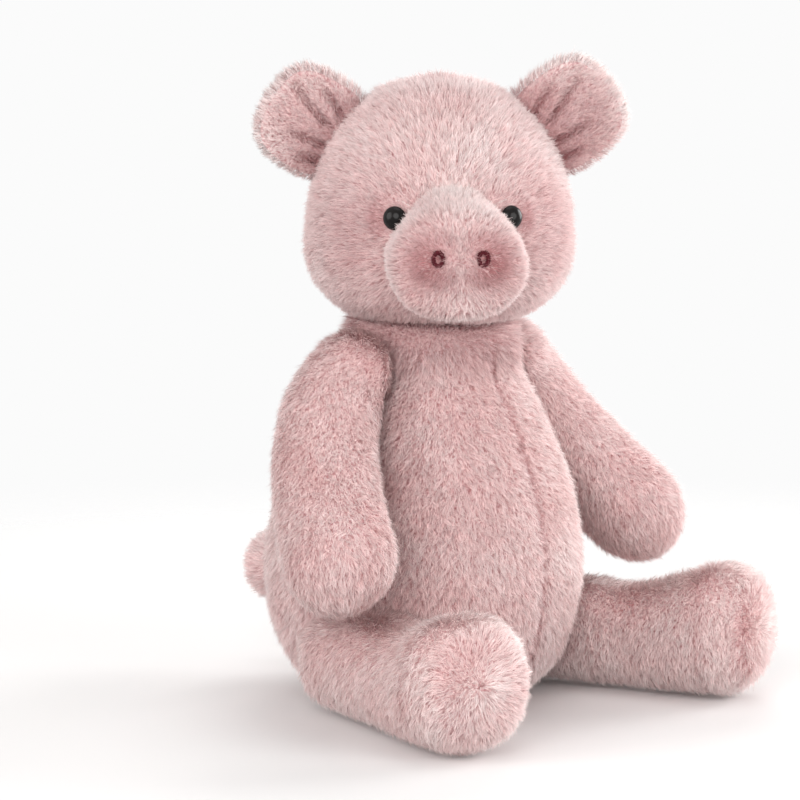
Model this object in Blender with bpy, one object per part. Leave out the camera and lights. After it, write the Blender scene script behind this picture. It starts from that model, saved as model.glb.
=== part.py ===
"""Sitting plush pig: stuffed fabric forms sewn together, safety eyes, stitched nostrils.

Metres, +Z up. The pig faces -Y and its left side is +X. The origin is the middle of the
flat bottom that it sits on.
"""
from math import cos, pi, radians, sin, sqrt

import bmesh
import bpy
from mathutils import Matrix, Vector

# Clearances
SEAM_GAP = 0.0003
OVERRUN = 0.002
REST_DEPTH = 0.0005

# Body, and the pellet bag inside it
BODY_HEIGHT = 0.134
BODY_WIDTH = 0.106
BODY_DEPTH = 0.131
BODY_BACKSET = 0.001
CLOTH = 0.0025
PELLET_BAG_WIDTH = 0.052
PELLET_BAG_DEPTH = 0.066
PELLET_BAG_HEIGHT = 0.034
PELLET_BAG_RISE = 0.010
FILL_PORT_RADIUS = 0.007

# Height, width and depth as shares of the body's, and the forward lean as a share of its depth
BODY_SHARES = (
    (0.045, 0.76, 0.75, 0.000),
    (0.130, 0.90, 0.89, 0.005),
    (0.250, 0.980, 0.97, 0.010),
    (0.380, 1.000, 1.00, 0.015),
    (0.520, 0.970, 0.96, 0.025),
    (0.650, 0.895, 0.87, 0.035),
    (0.770, 0.800, 0.74, 0.045),
    (0.870, 0.710, 0.62, 0.050),
    (0.950, 0.635, 0.52, 0.050),
)
BODY_FOOT_SHARES = (0.56, 0.56)

# Neck
NECK_SHARE = 0.2594
NECK_FORWARD = 0.0062
NECK_DROP_DEG = 16.0
NECK_THREAD = 0.0008
NECK_THREAD_DROP_DEG = 8.0

# Head
HEAD_HEIGHT = 0.0985
HEAD_WIDTH = 0.1045
HEAD_DEPTH = 0.0995
HEAD_BOTTOM = 0.1425
HEAD_FORWARD = 0.010
HEAD_TURN_DEG = -40.0
HEAD_SHARES = (
    (0.025, 0.580),
    (0.085, 0.800),
    (0.190, 0.945),
    (0.320, 1.000),
    (0.460, 0.990),
    (0.600, 0.935),
    (0.740, 0.815),
    (0.860, 0.630),
    (0.950, 0.400),
)

# Snout: reach in front of the head's middle, and the nose's disc
SNOUT_ROOT = 0.022
SNOUT_REACH = 0.0715
SNOUT_WIDTH = 0.053
SNOUT_HEIGHT = 0.0465
SNOUT_DROP = 0.0198
# Reach, width, height, rise and narrowing of the top as shares of the snout's
SNOUT_SHARES = (
    (0.00, 0.90, 1.02, 0.17, 0.46),
    (0.30, 0.96, 1.07, 0.14, 0.42),
    (0.55, 1.00, 1.06, 0.08, 0.32),
    (0.76, 1.02, 1.00, 0.02, 0.18),
    (0.90, 0.94, 0.90, 0.00, 0.08),
    (0.97, 0.72, 0.69, 0.00, 0.04),
)
NOSTRIL_SPREAD = 0.0083
NOSTRIL_WIDTH = 0.0035
NOSTRIL_HEIGHT = 0.0048
NOSTRIL_THREAD = 0.0008
NOSTRIL_RISE = 0.0030

# Safety eyes
EYE_RADIUS = 0.0045
EYE_DOME = 0.0034
EYE_SPREAD = 0.0213
EYE_DROP = 0.0038
EYE_TOE_OUT_DEG = 26.0
EYE_POST_RADIUS = 0.0015
EYE_POST_LENGTH = 0.0125
WASHER_RADIUS = 0.0065
WASHER_THICKNESS = 0.0012

# Ears
EAR_LENGTH = 0.0355
EAR_LENGTH_SHARES = {1: 1.0, -1: 0.915}
EAR_WIDTH = 0.043
EAR_THICKNESS = 0.0115
EAR_ROOT_WIDTH = 0.039
EAR_ROOT_RADIUS = 0.0052
EAR_CUP = 0.0055
EAR_SPREAD_SHARE = 0.368
EAR_RISE_SHARE = 0.2335
EAR_BACKSET = 0.002
EAR_TILTS_DEG = {1: 38.0, -1: 31.0}
EAR_RELIEF = 0.0017
# Distance from the root, width and thickness as shares of the ear's
EAR_SHARES = (
    (0.10, 0.96, 0.82),
    (0.28, 1.00, 0.94),
    (0.48, 1.00, 1.00),
    (0.66, 0.96, 1.00),
    (0.82, 0.86, 0.95),
    (0.93, 0.68, 0.80),
    (0.985, 0.40, 0.50),
)

# Arms
SHOULDER_FORWARD = 0.0055
SHOULDER_HEIGHT = 0.1245
ELBOW_OUT = 0.0266
ELBOW_AHEAD = 0.0045
ELBOW_DROP = 0.0225
HAND_OUT = 0.0468
HAND_AHEAD = 0.0320
HAND_DROP = 0.0580
HAND_RADIUS = 0.0230
ARM_ROOT_RADIUS = 0.0185
ARM_ROOT_REACH = 0.0092
ARM_FLATNESS_SHARE = 0.90
# Distance along the arm and radius as a share of the hand's
ARM_SHARES = (
    (0.00, 0.82),
    (0.16, 0.88),
    (0.34, 0.93),
    (0.54, 0.95),
    (0.76, 0.98),
    (1.00, 1.00),
)

# Legs
HIP_SPREAD = 0.0475
HIP_FORWARD = 0.0080
HIP_RADIUS = 0.0200
LEG_SPLAY_DEG = 17.3
LEG_SWING_DEG = 75.0
LEG_LENGTH = 0.1060
FOOT_WIDTH = 0.050
FOOT_HEIGHT = 0.0535
# Distance along the leg, width as a share of the foot's, bottom and top as shares of its height
LEG_SHARES = (
    (0.16, 0.830, 0.000, 0.800),
    (0.30, 0.830, 0.000, 0.815),
    (0.42, 0.830, 0.000, 0.785),
    (0.54, 0.850, 0.000, 0.820),
    (0.68, 0.930, 0.000, 0.900),
    (0.82, 1.000, 0.000, 1.000),
    (0.925, 0.900, 0.065, 0.945),
    (0.985, 0.600, 0.240, 0.755),
)

# Tail
TAIL_HEIGHT = 0.0405
TAIL_ROOT_RADIUS = 0.0085
TAIL_RADIUS = 0.0158
TAIL_LENGTH = 0.0285
TAIL_SEAT_DEPTH_SHARE = 0.30
TAIL_WAG_DEG = 15.0
# Distance along the tail and radius as a share of the tail's
TAIL_SHARES = (
    (0.06, 0.63),
    (0.18, 0.68),
    (0.34, 0.88),
    (0.52, 1.00),
    (0.70, 0.97),
    (0.85, 0.77),
    (0.95, 0.48),
)

# Facets around a form and along its rounded ends
AROUND = 28
AROUND_SMALL = 16
AROUND_THREAD = 6
END_STEPS = 5
ROUND_POWER = 2.0
SOFT_POWER = 2.3

# Colours and roughness
PLUSH = ("plush", (0.62, 0.36, 0.36), 0.95)
PELLETS = ("pellet_bag", (0.80, 0.78, 0.74), 0.9)
THREAD = ("thread", (0.24, 0.07, 0.09), 0.8)
EYE = ("eye_black", (0.006, 0.006, 0.007), 0.08)
WASHER = ("washer_white", (0.75, 0.75, 0.73), 0.5)

LEFT, RIGHT = 1, -1
SIDE_NAMES = {LEFT: "left", RIGHT: "right"}

NECK_RADIUS = BODY_WIDTH * NECK_SHARE
NECK_HEIGHT = BODY_HEIGHT + NECK_RADIUS * sin(radians(NECK_DROP_DEG))
NECK = Vector((0, -NECK_FORWARD, NECK_HEIGHT))
HEAD_MIDDLE = Vector((0, -HEAD_FORWARD, HEAD_BOTTOM + HEAD_HEIGHT / 2))
HEAD_PLACE = Matrix.Translation(HEAD_MIDDLE) @ Matrix.Rotation(radians(HEAD_TURN_DEG), 4, "Z")


def clear_scene():
    for item in list(bpy.data.objects):
        bpy.data.objects.remove(item, do_unlink=True)


def material(look):
    name, colour, roughness = look
    found = bpy.data.materials.get(name)
    if found:
        return found
    made = bpy.data.materials.new(name)
    made.use_nodes = True
    shader = made.node_tree.nodes["Principled BSDF"]
    shader.inputs["Base Color"].default_value = (*colour, 1)
    shader.inputs["Roughness"].default_value = roughness
    shader.inputs["Metallic"].default_value = 0
    return made


def make_object(name, bm, look=None):
    """Turn a bmesh into a named object; without a look it is a hidden cutter."""
    bmesh.ops.recalc_face_normals(bm, faces=bm.faces)
    mesh = bpy.data.meshes.new(name)
    bm.to_mesh(mesh)
    bm.free()
    mesh.shade_smooth()
    made = bpy.data.objects.new(name, mesh)
    bpy.context.scene.collection.objects.link(made)
    if look:
        mesh.materials.append(material(look))
    else:
        made.hide_render = True
        made.display_type = "WIRE"
    return made


def empty(name, place, parent=None):
    made = bpy.data.objects.new(name, None)
    bpy.context.scene.collection.objects.link(made)
    made.parent = parent
    made.matrix_world = place
    return made


def attach(item, pivot):
    """Parent an object to its pivot and leave it where it is."""
    item.parent = pivot
    item.matrix_parent_inverse = pivot.matrix_world.inverted()


def cut(item, cutter, solver="EXACT"):
    step = item.modifiers.new(cutter.name, "BOOLEAN")
    step.operation = "DIFFERENCE"
    step.solver = solver
    step.object = cutter


def ring_point(angle, half_width, half_height, power):
    """A point of a superellipse."""
    c, s = cos(angle), sin(angle)
    x = half_width * abs(c) ** (2 / power) * (1 if c >= 0 else -1)
    y = half_height * abs(s) ** (2 / power) * (1 if s >= 0 else -1)
    return x, y


def trim(item, forms, room):
    """Cut forms off an item, but leave what lies in the room that was hollowed for it."""
    kept = make_object(item.name + "_room_cutter", room)
    for number, form in enumerate(forms):
        cutter = make_object(f"{item.name}_form_cutter_{number}", form)
        cut(cutter, kept, "MANIFOLD")
        cut(item, cutter, "MANIFOLD")


def swung(make_form, place, axis, low_deg, high_deg):
    """A form as it stands to a piece that swings about a place's axis, at rest and its limits."""
    forms = []
    for angle in (-high_deg, 0, -low_deg):
        form = make_form(SEAM_GAP)
        turn = place @ Matrix.Rotation(radians(angle), 4, axis) @ place.inverted()
        bmesh.ops.transform(form, matrix=turn, verts=form.verts)
        forms.append(form)
    return forms


def loft(rings, start, end):
    """A closed form through rings of points; start and end are points or None for a flat cap."""
    bm = bmesh.new()
    loops = [[bm.verts.new(point) for point in ring] for ring in rings]
    count = len(loops[0])
    for low, high in zip(loops, loops[1:]):
        for i in range(count):
            j = (i + 1) % count
            bm.faces.new((low[i], low[j], high[j], high[i]))
    for loop, tip in ((loops[0], start), (loops[-1], end)):
        if tip is None:
            bm.faces.new(loop)
            continue
        apex = bm.verts.new(tip)
        for i in range(count):
            bm.faces.new((loop[i], loop[(i + 1) % count], apex))
    return bm


def ball(radius, place, around=AROUND):
    bm = bmesh.new()
    bmesh.ops.create_uvsphere(bm, u_segments=around, v_segments=around // 2, radius=radius)
    bmesh.ops.transform(bm, matrix=place, verts=bm.verts)
    return bm


def ball_seat(radius, place):
    """A ball whose flat facets all clear a ball of this radius, however that is turned."""
    return ball((radius + SEAM_GAP) / cos(pi / AROUND) ** 2, place)


def cylinder(radius, low, high, place, around=AROUND_SMALL):
    """A cylinder along the place's Z, between two heights."""
    bm = bmesh.new()
    bmesh.ops.create_cone(bm, cap_ends=True, segments=around, radius1=radius, radius2=radius,
                          depth=high - low)
    lift = Matrix.Translation((0, 0, (low + high) / 2))
    bmesh.ops.transform(bm, matrix=place @ lift, verts=bm.verts)
    return bm


def block(low, high, place):
    """A box between two corners, in a place's own axes."""
    bm = bmesh.new()
    bmesh.ops.create_cube(bm, size=1)
    size = [b - a for a, b in zip(low, high)]
    middle = [(a + b) / 2 for a, b in zip(low, high)]
    form = Matrix.Translation(middle) @ Matrix.Diagonal((*size, 1))
    bmesh.ops.transform(bm, matrix=place @ form, verts=bm.verts)
    return bm


def torus(wide, high, thread, place, around=AROUND_SMALL, sides=AROUND_THREAD):
    """A ring of thread in the place's XY plane, elliptical along its middle line."""
    bm = bmesh.new()
    loops = []
    for i in range(around):
        angle = 2 * pi * i / around
        middle = Vector((wide * cos(angle), high * sin(angle), 0))
        out = Vector((cos(angle), sin(angle), 0))
        loop = []
        for k in range(sides):
            turn = 2 * pi * k / sides
            offset = out * (thread * cos(turn)) + Vector((0, 0, thread * sin(turn)))
            loop.append(bm.verts.new(place @ (middle + offset)))
        loops.append(loop)
    for i in range(around):
        low, high_loop = loops[i], loops[(i + 1) % around]
        for k in range(sides):
            m = (k + 1) % sides
            bm.faces.new((low[k], low[m], high_loop[m], high_loop[k]))
    return bm


def turned(profile, place, around=AROUND_SMALL):
    """A solid turned about the place's Z from (radius, height) points that start and end on it."""
    rings = []
    for radius, height in profile[1:-1]:
        rings.append([(radius * cos(2 * pi * i / around), radius * sin(2 * pi * i / around), height)
                      for i in range(around)])
    bm = loft(rings, (0, 0, profile[0][1]), (0, 0, profile[-1][1]))
    bmesh.ops.transform(bm, matrix=place, verts=bm.verts)
    return bm


def floor_cut(item, reach):
    """Cut a form flat where it rests."""
    low = (-reach, -reach, -reach)
    high = (reach, reach, 0)
    cut(item, make_object(item.name + "_floor_cutter", block(low, high, Matrix.Identity(4))))


# Body

def level_ring(height, half_width, half_depth, middle_y, power=SOFT_POWER):
    ring = []
    for i in range(AROUND):
        x, y = ring_point(2 * pi * i / AROUND, half_width, half_depth, power)
        ring.append((x, y + middle_y, height))
    return ring


def body_rings(grow):
    """Rings of the body's outside, grown by a distance, from the seat to the neck's flare."""
    rings = []
    foot_wide, foot_deep = BODY_FOOT_SHARES
    rings.append(level_ring(-grow, BODY_WIDTH / 2 * foot_wide + grow,
                            BODY_DEPTH / 2 * foot_deep + grow, BODY_BACKSET))
    for up, wide, deep, lean in BODY_SHARES:
        rings.append(level_ring(BODY_HEIGHT * up, BODY_WIDTH / 2 * wide + grow,
                                BODY_DEPTH / 2 * deep + grow, BODY_BACKSET - BODY_DEPTH * lean))
    return rings


def neck_rings(radius, lowest_deg):
    """The ball of the neck, from below its equator up to its top."""
    rings = []
    steps = 2 * END_STEPS
    for step in range(steps):
        angle = radians(lowest_deg + (90 - lowest_deg) * step / steps)
        r = radius * cos(angle)
        rings.append(level_ring(NECK.z + radius * sin(angle), r, r, NECK.y, ROUND_POWER))
    return rings


def body_form(grow):
    rings = body_rings(grow) + neck_rings(NECK_RADIUS + grow, -NECK_DROP_DEG)
    return loft(rings, None, NECK + Vector((0, 0, NECK_RADIUS + grow)))


def hip_place(side):
    return Matrix.Translation((side * HIP_SPREAD, -HIP_FORWARD, HIP_RADIUS - REST_DEPTH))


def body_section(height):
    """The rings of shares below and above a height, and how far it lies between them."""
    up = height / BODY_HEIGHT
    pairs = list(zip(BODY_SHARES, BODY_SHARES[1:]))
    low, high = next((pair for pair in pairs if pair[0][0] <= up <= pair[1][0]), pairs[-1])
    return low, high, (up - low[0]) / (high[0] - low[0])


def body_back(height):
    """How far back the body reaches at a height."""
    low, high, part = body_section(height)
    deep = low[2] + (high[2] - low[2]) * part
    lean = low[3] + (high[3] - low[3]) * part
    return BODY_BACKSET + BODY_DEPTH * (deep / 2 - lean)


def tail_place():
    """The middle of the tail's root ball, with Z pointing out of the back."""
    back = body_back(TAIL_HEIGHT) - TAIL_ROOT_RADIUS * TAIL_SEAT_DEPTH_SHARE
    return Matrix.Translation((0, back, TAIL_HEIGHT)) @ Matrix.Rotation(radians(-90), 4, "X")


def pellet_form(grow):
    middle = PELLET_BAG_RISE + PELLET_BAG_HEIGHT / 2
    radii = [size / 2 + grow for size in (PELLET_BAG_WIDTH, PELLET_BAG_DEPTH, PELLET_BAG_HEIGHT)]
    form = Matrix.Translation((0, BODY_BACKSET, middle)) @ Matrix.Diagonal((*radii, 1))
    bm = bmesh.new()
    bmesh.ops.create_uvsphere(bm, u_segments=AROUND_SMALL, v_segments=AROUND_SMALL // 2, radius=1)
    bmesh.ops.transform(bm, matrix=form, verts=bm.verts)
    return bm


def make_body():
    """The body with its hip and tail seats, and the pellet bag's room, open at the neck."""
    body = make_object("body", body_form(0), PLUSH)
    low = PELLET_BAG_RISE + PELLET_BAG_HEIGHT / 2
    high = NECK.z + NECK_RADIUS + OVERRUN
    port = cylinder(FILL_PORT_RADIUS, low, high, Matrix.Translation((0, NECK.y, 0)))
    cut(body, make_object("pellet_room_cutter", pellet_form(SEAM_GAP)))
    cut(body, make_object("filling_port_cutter", port))
    for side in (LEFT, RIGHT):
        seat = ball_seat(HIP_RADIUS, hip_place(side))
        cut(body, make_object("hip_seat_cutter_" + SIDE_NAMES[side], seat))
    tail_seat = ball_seat(TAIL_ROOT_RADIUS, tail_place())
    cut(body, make_object("tail_seat_cutter", tail_seat))
    return [body, make_object("pellet_bag", pellet_form(0), PELLETS)]


def make_neck_thread():
    """The drawn-up thread that closes the neck, lying on the neck's ball."""
    reach = NECK_RADIUS + SEAM_GAP + NECK_THREAD
    drop = radians(NECK_THREAD_DROP_DEG)
    place = Matrix.Translation(NECK - Vector((0, 0, reach * sin(drop))))
    radius = reach * cos(drop)
    return make_object("neck_thread", torus(radius, radius, NECK_THREAD, place, AROUND), THREAD)


# Head, in its own axes: the face looks along -Y and the origin is the head's middle

def head_form(grow):
    rings = []
    for up, wide in HEAD_SHARES:
        rings.append(level_ring(HEAD_HEIGHT * (up - 1 / 2), HEAD_WIDTH / 2 * wide + grow,
                                HEAD_DEPTH / 2 * wide + grow, 0, ROUND_POWER))
    tip = HEAD_HEIGHT / 2 + grow
    bm = loft(rings, (0, 0, -tip), (0, 0, tip))
    bmesh.ops.transform(bm, matrix=HEAD_PLACE, verts=bm.verts)
    return bm


def head_front(x, z):
    """The front of the head at a given side and height, in its own axes."""
    up = z / HEAD_HEIGHT + 1 / 2
    wide = 1
    for (low, low_wide), (high, high_wide) in zip(HEAD_SHARES, HEAD_SHARES[1:]):
        if low <= up <= high:
            wide = low_wide + (high_wide - low_wide) * (up - low) / (high - low)
    return -HEAD_DEPTH / 2 * wide * sqrt(1 - (x / (HEAD_WIDTH / 2 * wide)) ** 2)


def eye_place(side):
    """On the head's surface, with Z looking out along the eye."""
    x = side * EYE_SPREAD
    turn = Matrix.Rotation(radians(side * EYE_TOE_OUT_DEG), 4, "Z")
    face_out = Matrix.Rotation(radians(90), 4, "X")
    surface = Matrix.Translation((x, head_front(x, -EYE_DROP), -EYE_DROP))
    return HEAD_PLACE @ surface @ turn @ face_out


def ear_place(side):
    """The ear's root: X across the flap, Y through its thickness, Z along it."""
    tilt = Matrix.Rotation(radians(side * (90 - EAR_TILTS_DEG[side])), 4, "Y")
    spread, rise = HEAD_WIDTH * EAR_SPREAD_SHARE, HEAD_HEIGHT * EAR_RISE_SHARE
    root = Vector((side * spread, EAR_BACKSET, rise))
    return HEAD_PLACE @ Matrix.Translation(root) @ tilt


def ear_length(side):
    return EAR_LENGTH * EAR_LENGTH_SHARES[side]


def ear_root(side, grow):
    """A spindle about the line that the ear flops on."""
    sizes = (EAR_ROOT_WIDTH / 2 + grow, EAR_ROOT_RADIUS + grow, EAR_ROOT_RADIUS + grow, 1)
    bm = bmesh.new()
    bmesh.ops.create_uvsphere(bm, u_segments=AROUND_SMALL, v_segments=AROUND_SMALL, radius=1)
    spin = Matrix.Rotation(radians(90), 4, "Y")
    bmesh.ops.transform(bm, matrix=ear_place(side) @ Matrix.Diagonal(sizes) @ spin, verts=bm.verts)
    return bm


def nostril_place(side):
    """On the nose's disc, with Z looking out of it."""
    x = side * NOSTRIL_SPREAD
    last_reach, last_wide = SNOUT_SHARES[-1][0], SNOUT_SHARES[-1][1]
    inward = (1 - last_reach) * (SNOUT_REACH - SNOUT_ROOT) * x * side / (SNOUT_WIDTH / 2 * last_wide)
    middle = Matrix.Translation((x, -SNOUT_REACH + inward, NOSTRIL_RISE - SNOUT_DROP))
    return HEAD_PLACE @ middle @ Matrix.Rotation(radians(90), 4, "X")


def washer_bottom():
    return -CLOTH - SEAM_GAP - WASHER_THICKNESS


def make_head():
    """The head with the neck's seat, the ears' seats, and the eyes' bores and washers' rooms."""
    head = make_object("head", head_form(0), PLUSH)
    neck_seat = ball_seat(NECK_RADIUS, Matrix.Translation(NECK))
    cut(head, make_object("neck_seat_cutter", neck_seat))
    for side in (LEFT, RIGHT):
        name = SIDE_NAMES[side]
        ear_seat = ear_root(side, 3 * SEAM_GAP / 2)
        bore = cylinder(EYE_POST_RADIUS + SEAM_GAP, -EYE_POST_LENGTH - SEAM_GAP, OVERRUN,
                        eye_place(side))
        room = cylinder(WASHER_RADIUS + SEAM_GAP, washer_bottom() - SEAM_GAP, -CLOTH,
                        eye_place(side))
        cut(head, make_object("ear_seat_cutter_" + name, ear_seat))
        cut(head, make_object("washer_room_cutter_" + name, room))
        cut(head, make_object("eye_bore_cutter_" + name, bore))
    return head


def eye_profile(grow=0):
    """From the post's end up to the dome's tip."""
    low = SEAM_GAP - grow
    points = [(0, -EYE_POST_LENGTH), (EYE_POST_RADIUS, -EYE_POST_LENGTH), (EYE_POST_RADIUS, low),
              (EYE_RADIUS + grow, low)]
    for step in range(1, END_STEPS):
        angle = pi / 2 * step / END_STEPS
        points.append(((EYE_RADIUS + grow) * cos(angle), low + (EYE_DOME + 2 * grow) * sin(angle)))
    points.append((0, low + EYE_DOME + 2 * grow))
    return points


def make_eyes():
    pieces = []
    for side in (LEFT, RIGHT):
        name = SIDE_NAMES[side]
        place = eye_place(side)
        pieces.append(make_object("eye_" + name, turned(eye_profile(), place), EYE))
        washer = cylinder(WASHER_RADIUS, washer_bottom(), -CLOTH - SEAM_GAP, place)
        washer = make_object("eye_washer_" + name, washer, WASHER)
        bore = cylinder(EYE_POST_RADIUS + SEAM_GAP, washer_bottom() - OVERRUN, 0, place)
        cut(washer, make_object("washer_bore_cutter_" + name, bore))
        pieces.append(washer)
    return pieces


def snout_form():
    rings = []
    for reach, wide, high, rise, narrow in SNOUT_SHARES:
        y = -(SNOUT_ROOT + (SNOUT_REACH - SNOUT_ROOT) * reach)
        ring = []
        for i in range(AROUND):
            x, z = ring_point(2 * pi * i / AROUND, SNOUT_WIDTH / 2 * wide,
                              SNOUT_HEIGHT / 2 * high, SOFT_POWER)
            top = max(0, z / (SNOUT_HEIGHT / 2 * high))
            ring.append((x * (1 - narrow * top), y, z + SNOUT_HEIGHT * rise - SNOUT_DROP))
        rings.append(ring)
    bm = loft(rings, None, (0, -SNOUT_REACH, -SNOUT_DROP))
    bmesh.ops.transform(bm, matrix=HEAD_PLACE, verts=bm.verts)
    return bm


def make_snout():
    """The padded snout, fitted to the head and clear of the eyes, with its stitched nostrils."""
    snout = make_object("snout", snout_form(), PLUSH)
    cut(snout, make_object("snout_back_cutter", head_form(SEAM_GAP)), "MANIFOLD")
    pieces = [snout]
    for side in (LEFT, RIGHT):
        name = SIDE_NAMES[side]
        socket = turned(eye_profile(SEAM_GAP), eye_place(side))
        cut(snout, make_object("eye_socket_cutter_" + name, socket), "MANIFOLD")
        sizes = (NOSTRIL_WIDTH / 2, NOSTRIL_HEIGHT / 2)
        groove = torus(*sizes, NOSTRIL_THREAD + SEAM_GAP, nostril_place(side))
        cut(snout, make_object("nostril_groove_cutter_" + name, groove), "MANIFOLD")
        ring = torus(*sizes, NOSTRIL_THREAD, nostril_place(side))
        pieces.append(make_object("nostril_" + name, ring, THREAD))
    return pieces


def make_ear(side):
    """A stuffed flap, cupped forwards, whose root is a spindle about its fold."""
    rings = []
    for step in range(1, END_STEPS + 1):
        angle = pi / 2 * step / END_STEPS
        ring = []
        for i in range(AROUND):
            x, y = ring_point(2 * pi * i / AROUND, EAR_ROOT_WIDTH / 2 * sin(angle),
                              EAR_ROOT_RADIUS * sin(angle), ROUND_POWER)
            ring.append((x, y, -EAR_ROOT_RADIUS * cos(angle)))
        rings.append(ring)
    for along, wide, thick in EAR_SHARES:
        half_width = EAR_WIDTH / 2 * wide
        cup = EAR_CUP * max(0, along)
        ring = []
        for i in range(AROUND):
            x, y = ring_point(2 * pi * i / AROUND, half_width, EAR_THICKNESS / 2 * thick,
                              SOFT_POWER)
            ring.append((x, y - cup * (x / half_width) ** 2, ear_length(side) * along))
        rings.append(ring)
    bm = loft(rings, (0, 0, -EAR_ROOT_RADIUS), (0, 0, ear_length(side)))
    bmesh.ops.transform(bm, matrix=ear_place(side), verts=bm.verts)
    ear = make_object("ear_" + SIDE_NAMES[side], bm, PLUSH)
    trim(ear, [head_form(EAR_RELIEF)], ear_root(side, SEAM_GAP / 2))
    return ear


# Limbs

def curve_point(points, part):
    """A point of the smooth curve through three points."""
    start, middle, end = points
    bend = middle * 2 - (start + end) / 2
    return start * (1 - part) ** 2 + bend * (2 * part * (1 - part)) + end * part ** 2


def tube_rings(points, shares, radius, flatness):
    """Rings square to the smooth curve through three points."""
    rings = []
    step = 1 / (len(shares) * END_STEPS)
    for along, wide in shares:
        middle = curve_point(points, along)
        ahead = (curve_point(points, along + step) - curve_point(points, along - step)).normalized()
        side = ahead.cross(Vector((0, 1, 0))).normalized()
        front = side.cross(ahead)
        ring = []
        for i in range(AROUND):
            x, y = ring_point(2 * pi * i / AROUND, radius * wide * flatness, radius * wide,
                              ROUND_POWER)
            ring.append(middle + side * x + front * y)
        rings.append(ring)
    return rings


def arm_axis(side):
    """Square to the body's side at the shoulder."""
    low, high, _ = body_section(SHOULDER_HEIGHT)
    rise = BODY_HEIGHT * (high[0] - low[0])
    inward = BODY_WIDTH / 2 * (low[1] - high[1])
    return Vector((side * rise, 0, inward)).normalized()


def shoulder(side):
    """The middle of the arm's root, on the body's side."""
    low, high, part = body_section(SHOULDER_HEIGHT)
    spread = BODY_WIDTH / 2 * (low[1] + (high[1] - low[1]) * part)
    return Vector((side * spread, -SHOULDER_FORWARD, SHOULDER_HEIGHT))


def round_end(middle, ahead, ring, radius):
    """Rings that close a tube with a dome, and the dome's tip."""
    rings = []
    for step in range(1, END_STEPS):
        angle = pi / 2 * step / END_STEPS
        push = ahead * (radius * sin(angle))
        rings.append([middle + (point - middle) * cos(angle) + push for point in ring])
    return rings, middle + ahead * radius


def make_arm(side):
    """A stuffed tube that swells to the hand, flat where it lies against the body."""
    root = shoulder(side) + arm_axis(side) * ARM_ROOT_REACH
    elbow = shoulder(side) + Vector((side * ELBOW_OUT, -ELBOW_AHEAD, -ELBOW_DROP))
    hand = shoulder(side) + Vector((side * HAND_OUT, -HAND_AHEAD, -HAND_DROP))
    points = (root, elbow, hand)
    rings = tube_rings(points, ARM_SHARES, HAND_RADIUS, ARM_FLATNESS_SHARE)
    step = 1 / (len(ARM_SHARES) * END_STEPS)
    up = (root - curve_point(points, step)).normalized()
    down = (hand - curve_point(points, 1 - step)).normalized()
    top_rings, top = round_end(root, up, rings[0], ARM_ROOT_RADIUS)
    low_rings, low = round_end(hand, down, rings[-1], HAND_RADIUS)
    arm = make_object("arm_" + SIDE_NAMES[side],
                      loft(top_rings[::-1] + rings + low_rings, top, low), PLUSH)
    across = arm_axis(side).to_track_quat("Z", "Y").to_matrix().to_4x4()
    face = Matrix.Translation(shoulder(side)) @ across
    reach = BODY_HEIGHT
    slab = block((-reach, -reach, -reach), (reach, reach, SEAM_GAP), face)
    cut(arm, make_object("arm_face_cutter_" + SIDE_NAMES[side], slab))
    return arm


def make_leg(side):
    """A stuffed leg that lies forwards from a round hip and turns up into the foot."""
    rings = []
    middle = HIP_RADIUS
    for step in range(1, END_STEPS + 1):
        angle = pi / 2 * step / END_STEPS
        ring = []
        for i in range(AROUND):
            x, z = ring_point(2 * pi * i / AROUND, HIP_RADIUS * sin(angle),
                              HIP_RADIUS * sin(angle), ROUND_POWER)
            ring.append((x, HIP_RADIUS * cos(angle), z + middle))
        rings.append(ring)
    for along, wide, low, high in LEG_SHARES:
        ring = []
        for i in range(AROUND):
            x, z = ring_point(2 * pi * i / AROUND, FOOT_WIDTH / 2 * wide,
                              FOOT_HEIGHT * (high - low) / 2, SOFT_POWER)
            ring.append((x, -LEG_LENGTH * along, z + FOOT_HEIGHT * (high + low) / 2))
        rings.append(ring)
    bm = loft(rings, (0, HIP_RADIUS, middle), (0, -LEG_LENGTH, FOOT_HEIGHT / 2))
    place = (Matrix.Translation((side * HIP_SPREAD, -HIP_FORWARD, -REST_DEPTH))
             @ Matrix.Rotation(radians(side * LEG_SPLAY_DEG), 4, "Z"))
    bmesh.ops.transform(bm, matrix=place, verts=bm.verts)
    name = SIDE_NAMES[side]
    leg = make_object("leg_" + name, bm, PLUSH)
    floor_cut(leg, LEG_LENGTH + HIP_SPREAD + FOOT_WIDTH)
    bellies = swung(body_form, hip_place(side), "X", LEG_SWING_DEG / 2, LEG_SWING_DEG)
    trim(leg, bellies, ball(HIP_RADIUS + SEAM_GAP / 2, hip_place(side)))
    return leg


def make_tail():
    place = tail_place()
    seat = TAIL_ROOT_RADIUS * TAIL_SEAT_DEPTH_SHARE
    profile = [(0, -TAIL_ROOT_RADIUS)]
    for step in range(1, END_STEPS):
        angle = pi / 2 * step / END_STEPS
        profile.append((TAIL_ROOT_RADIUS * sin(angle), -TAIL_ROOT_RADIUS * cos(angle)))
    profile += [(TAIL_RADIUS * wide, seat + TAIL_LENGTH * along) for along, wide in TAIL_SHARES]
    profile.append((0, seat + TAIL_LENGTH))
    tail = make_object("tail", turned(profile, place, AROUND), PLUSH)
    backs = swung(body_form, place, "Y", -TAIL_WAG_DEG, TAIL_WAG_DEG)
    trim(tail, backs, ball(TAIL_ROOT_RADIUS + SEAM_GAP / 2, place))
    return tail


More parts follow.
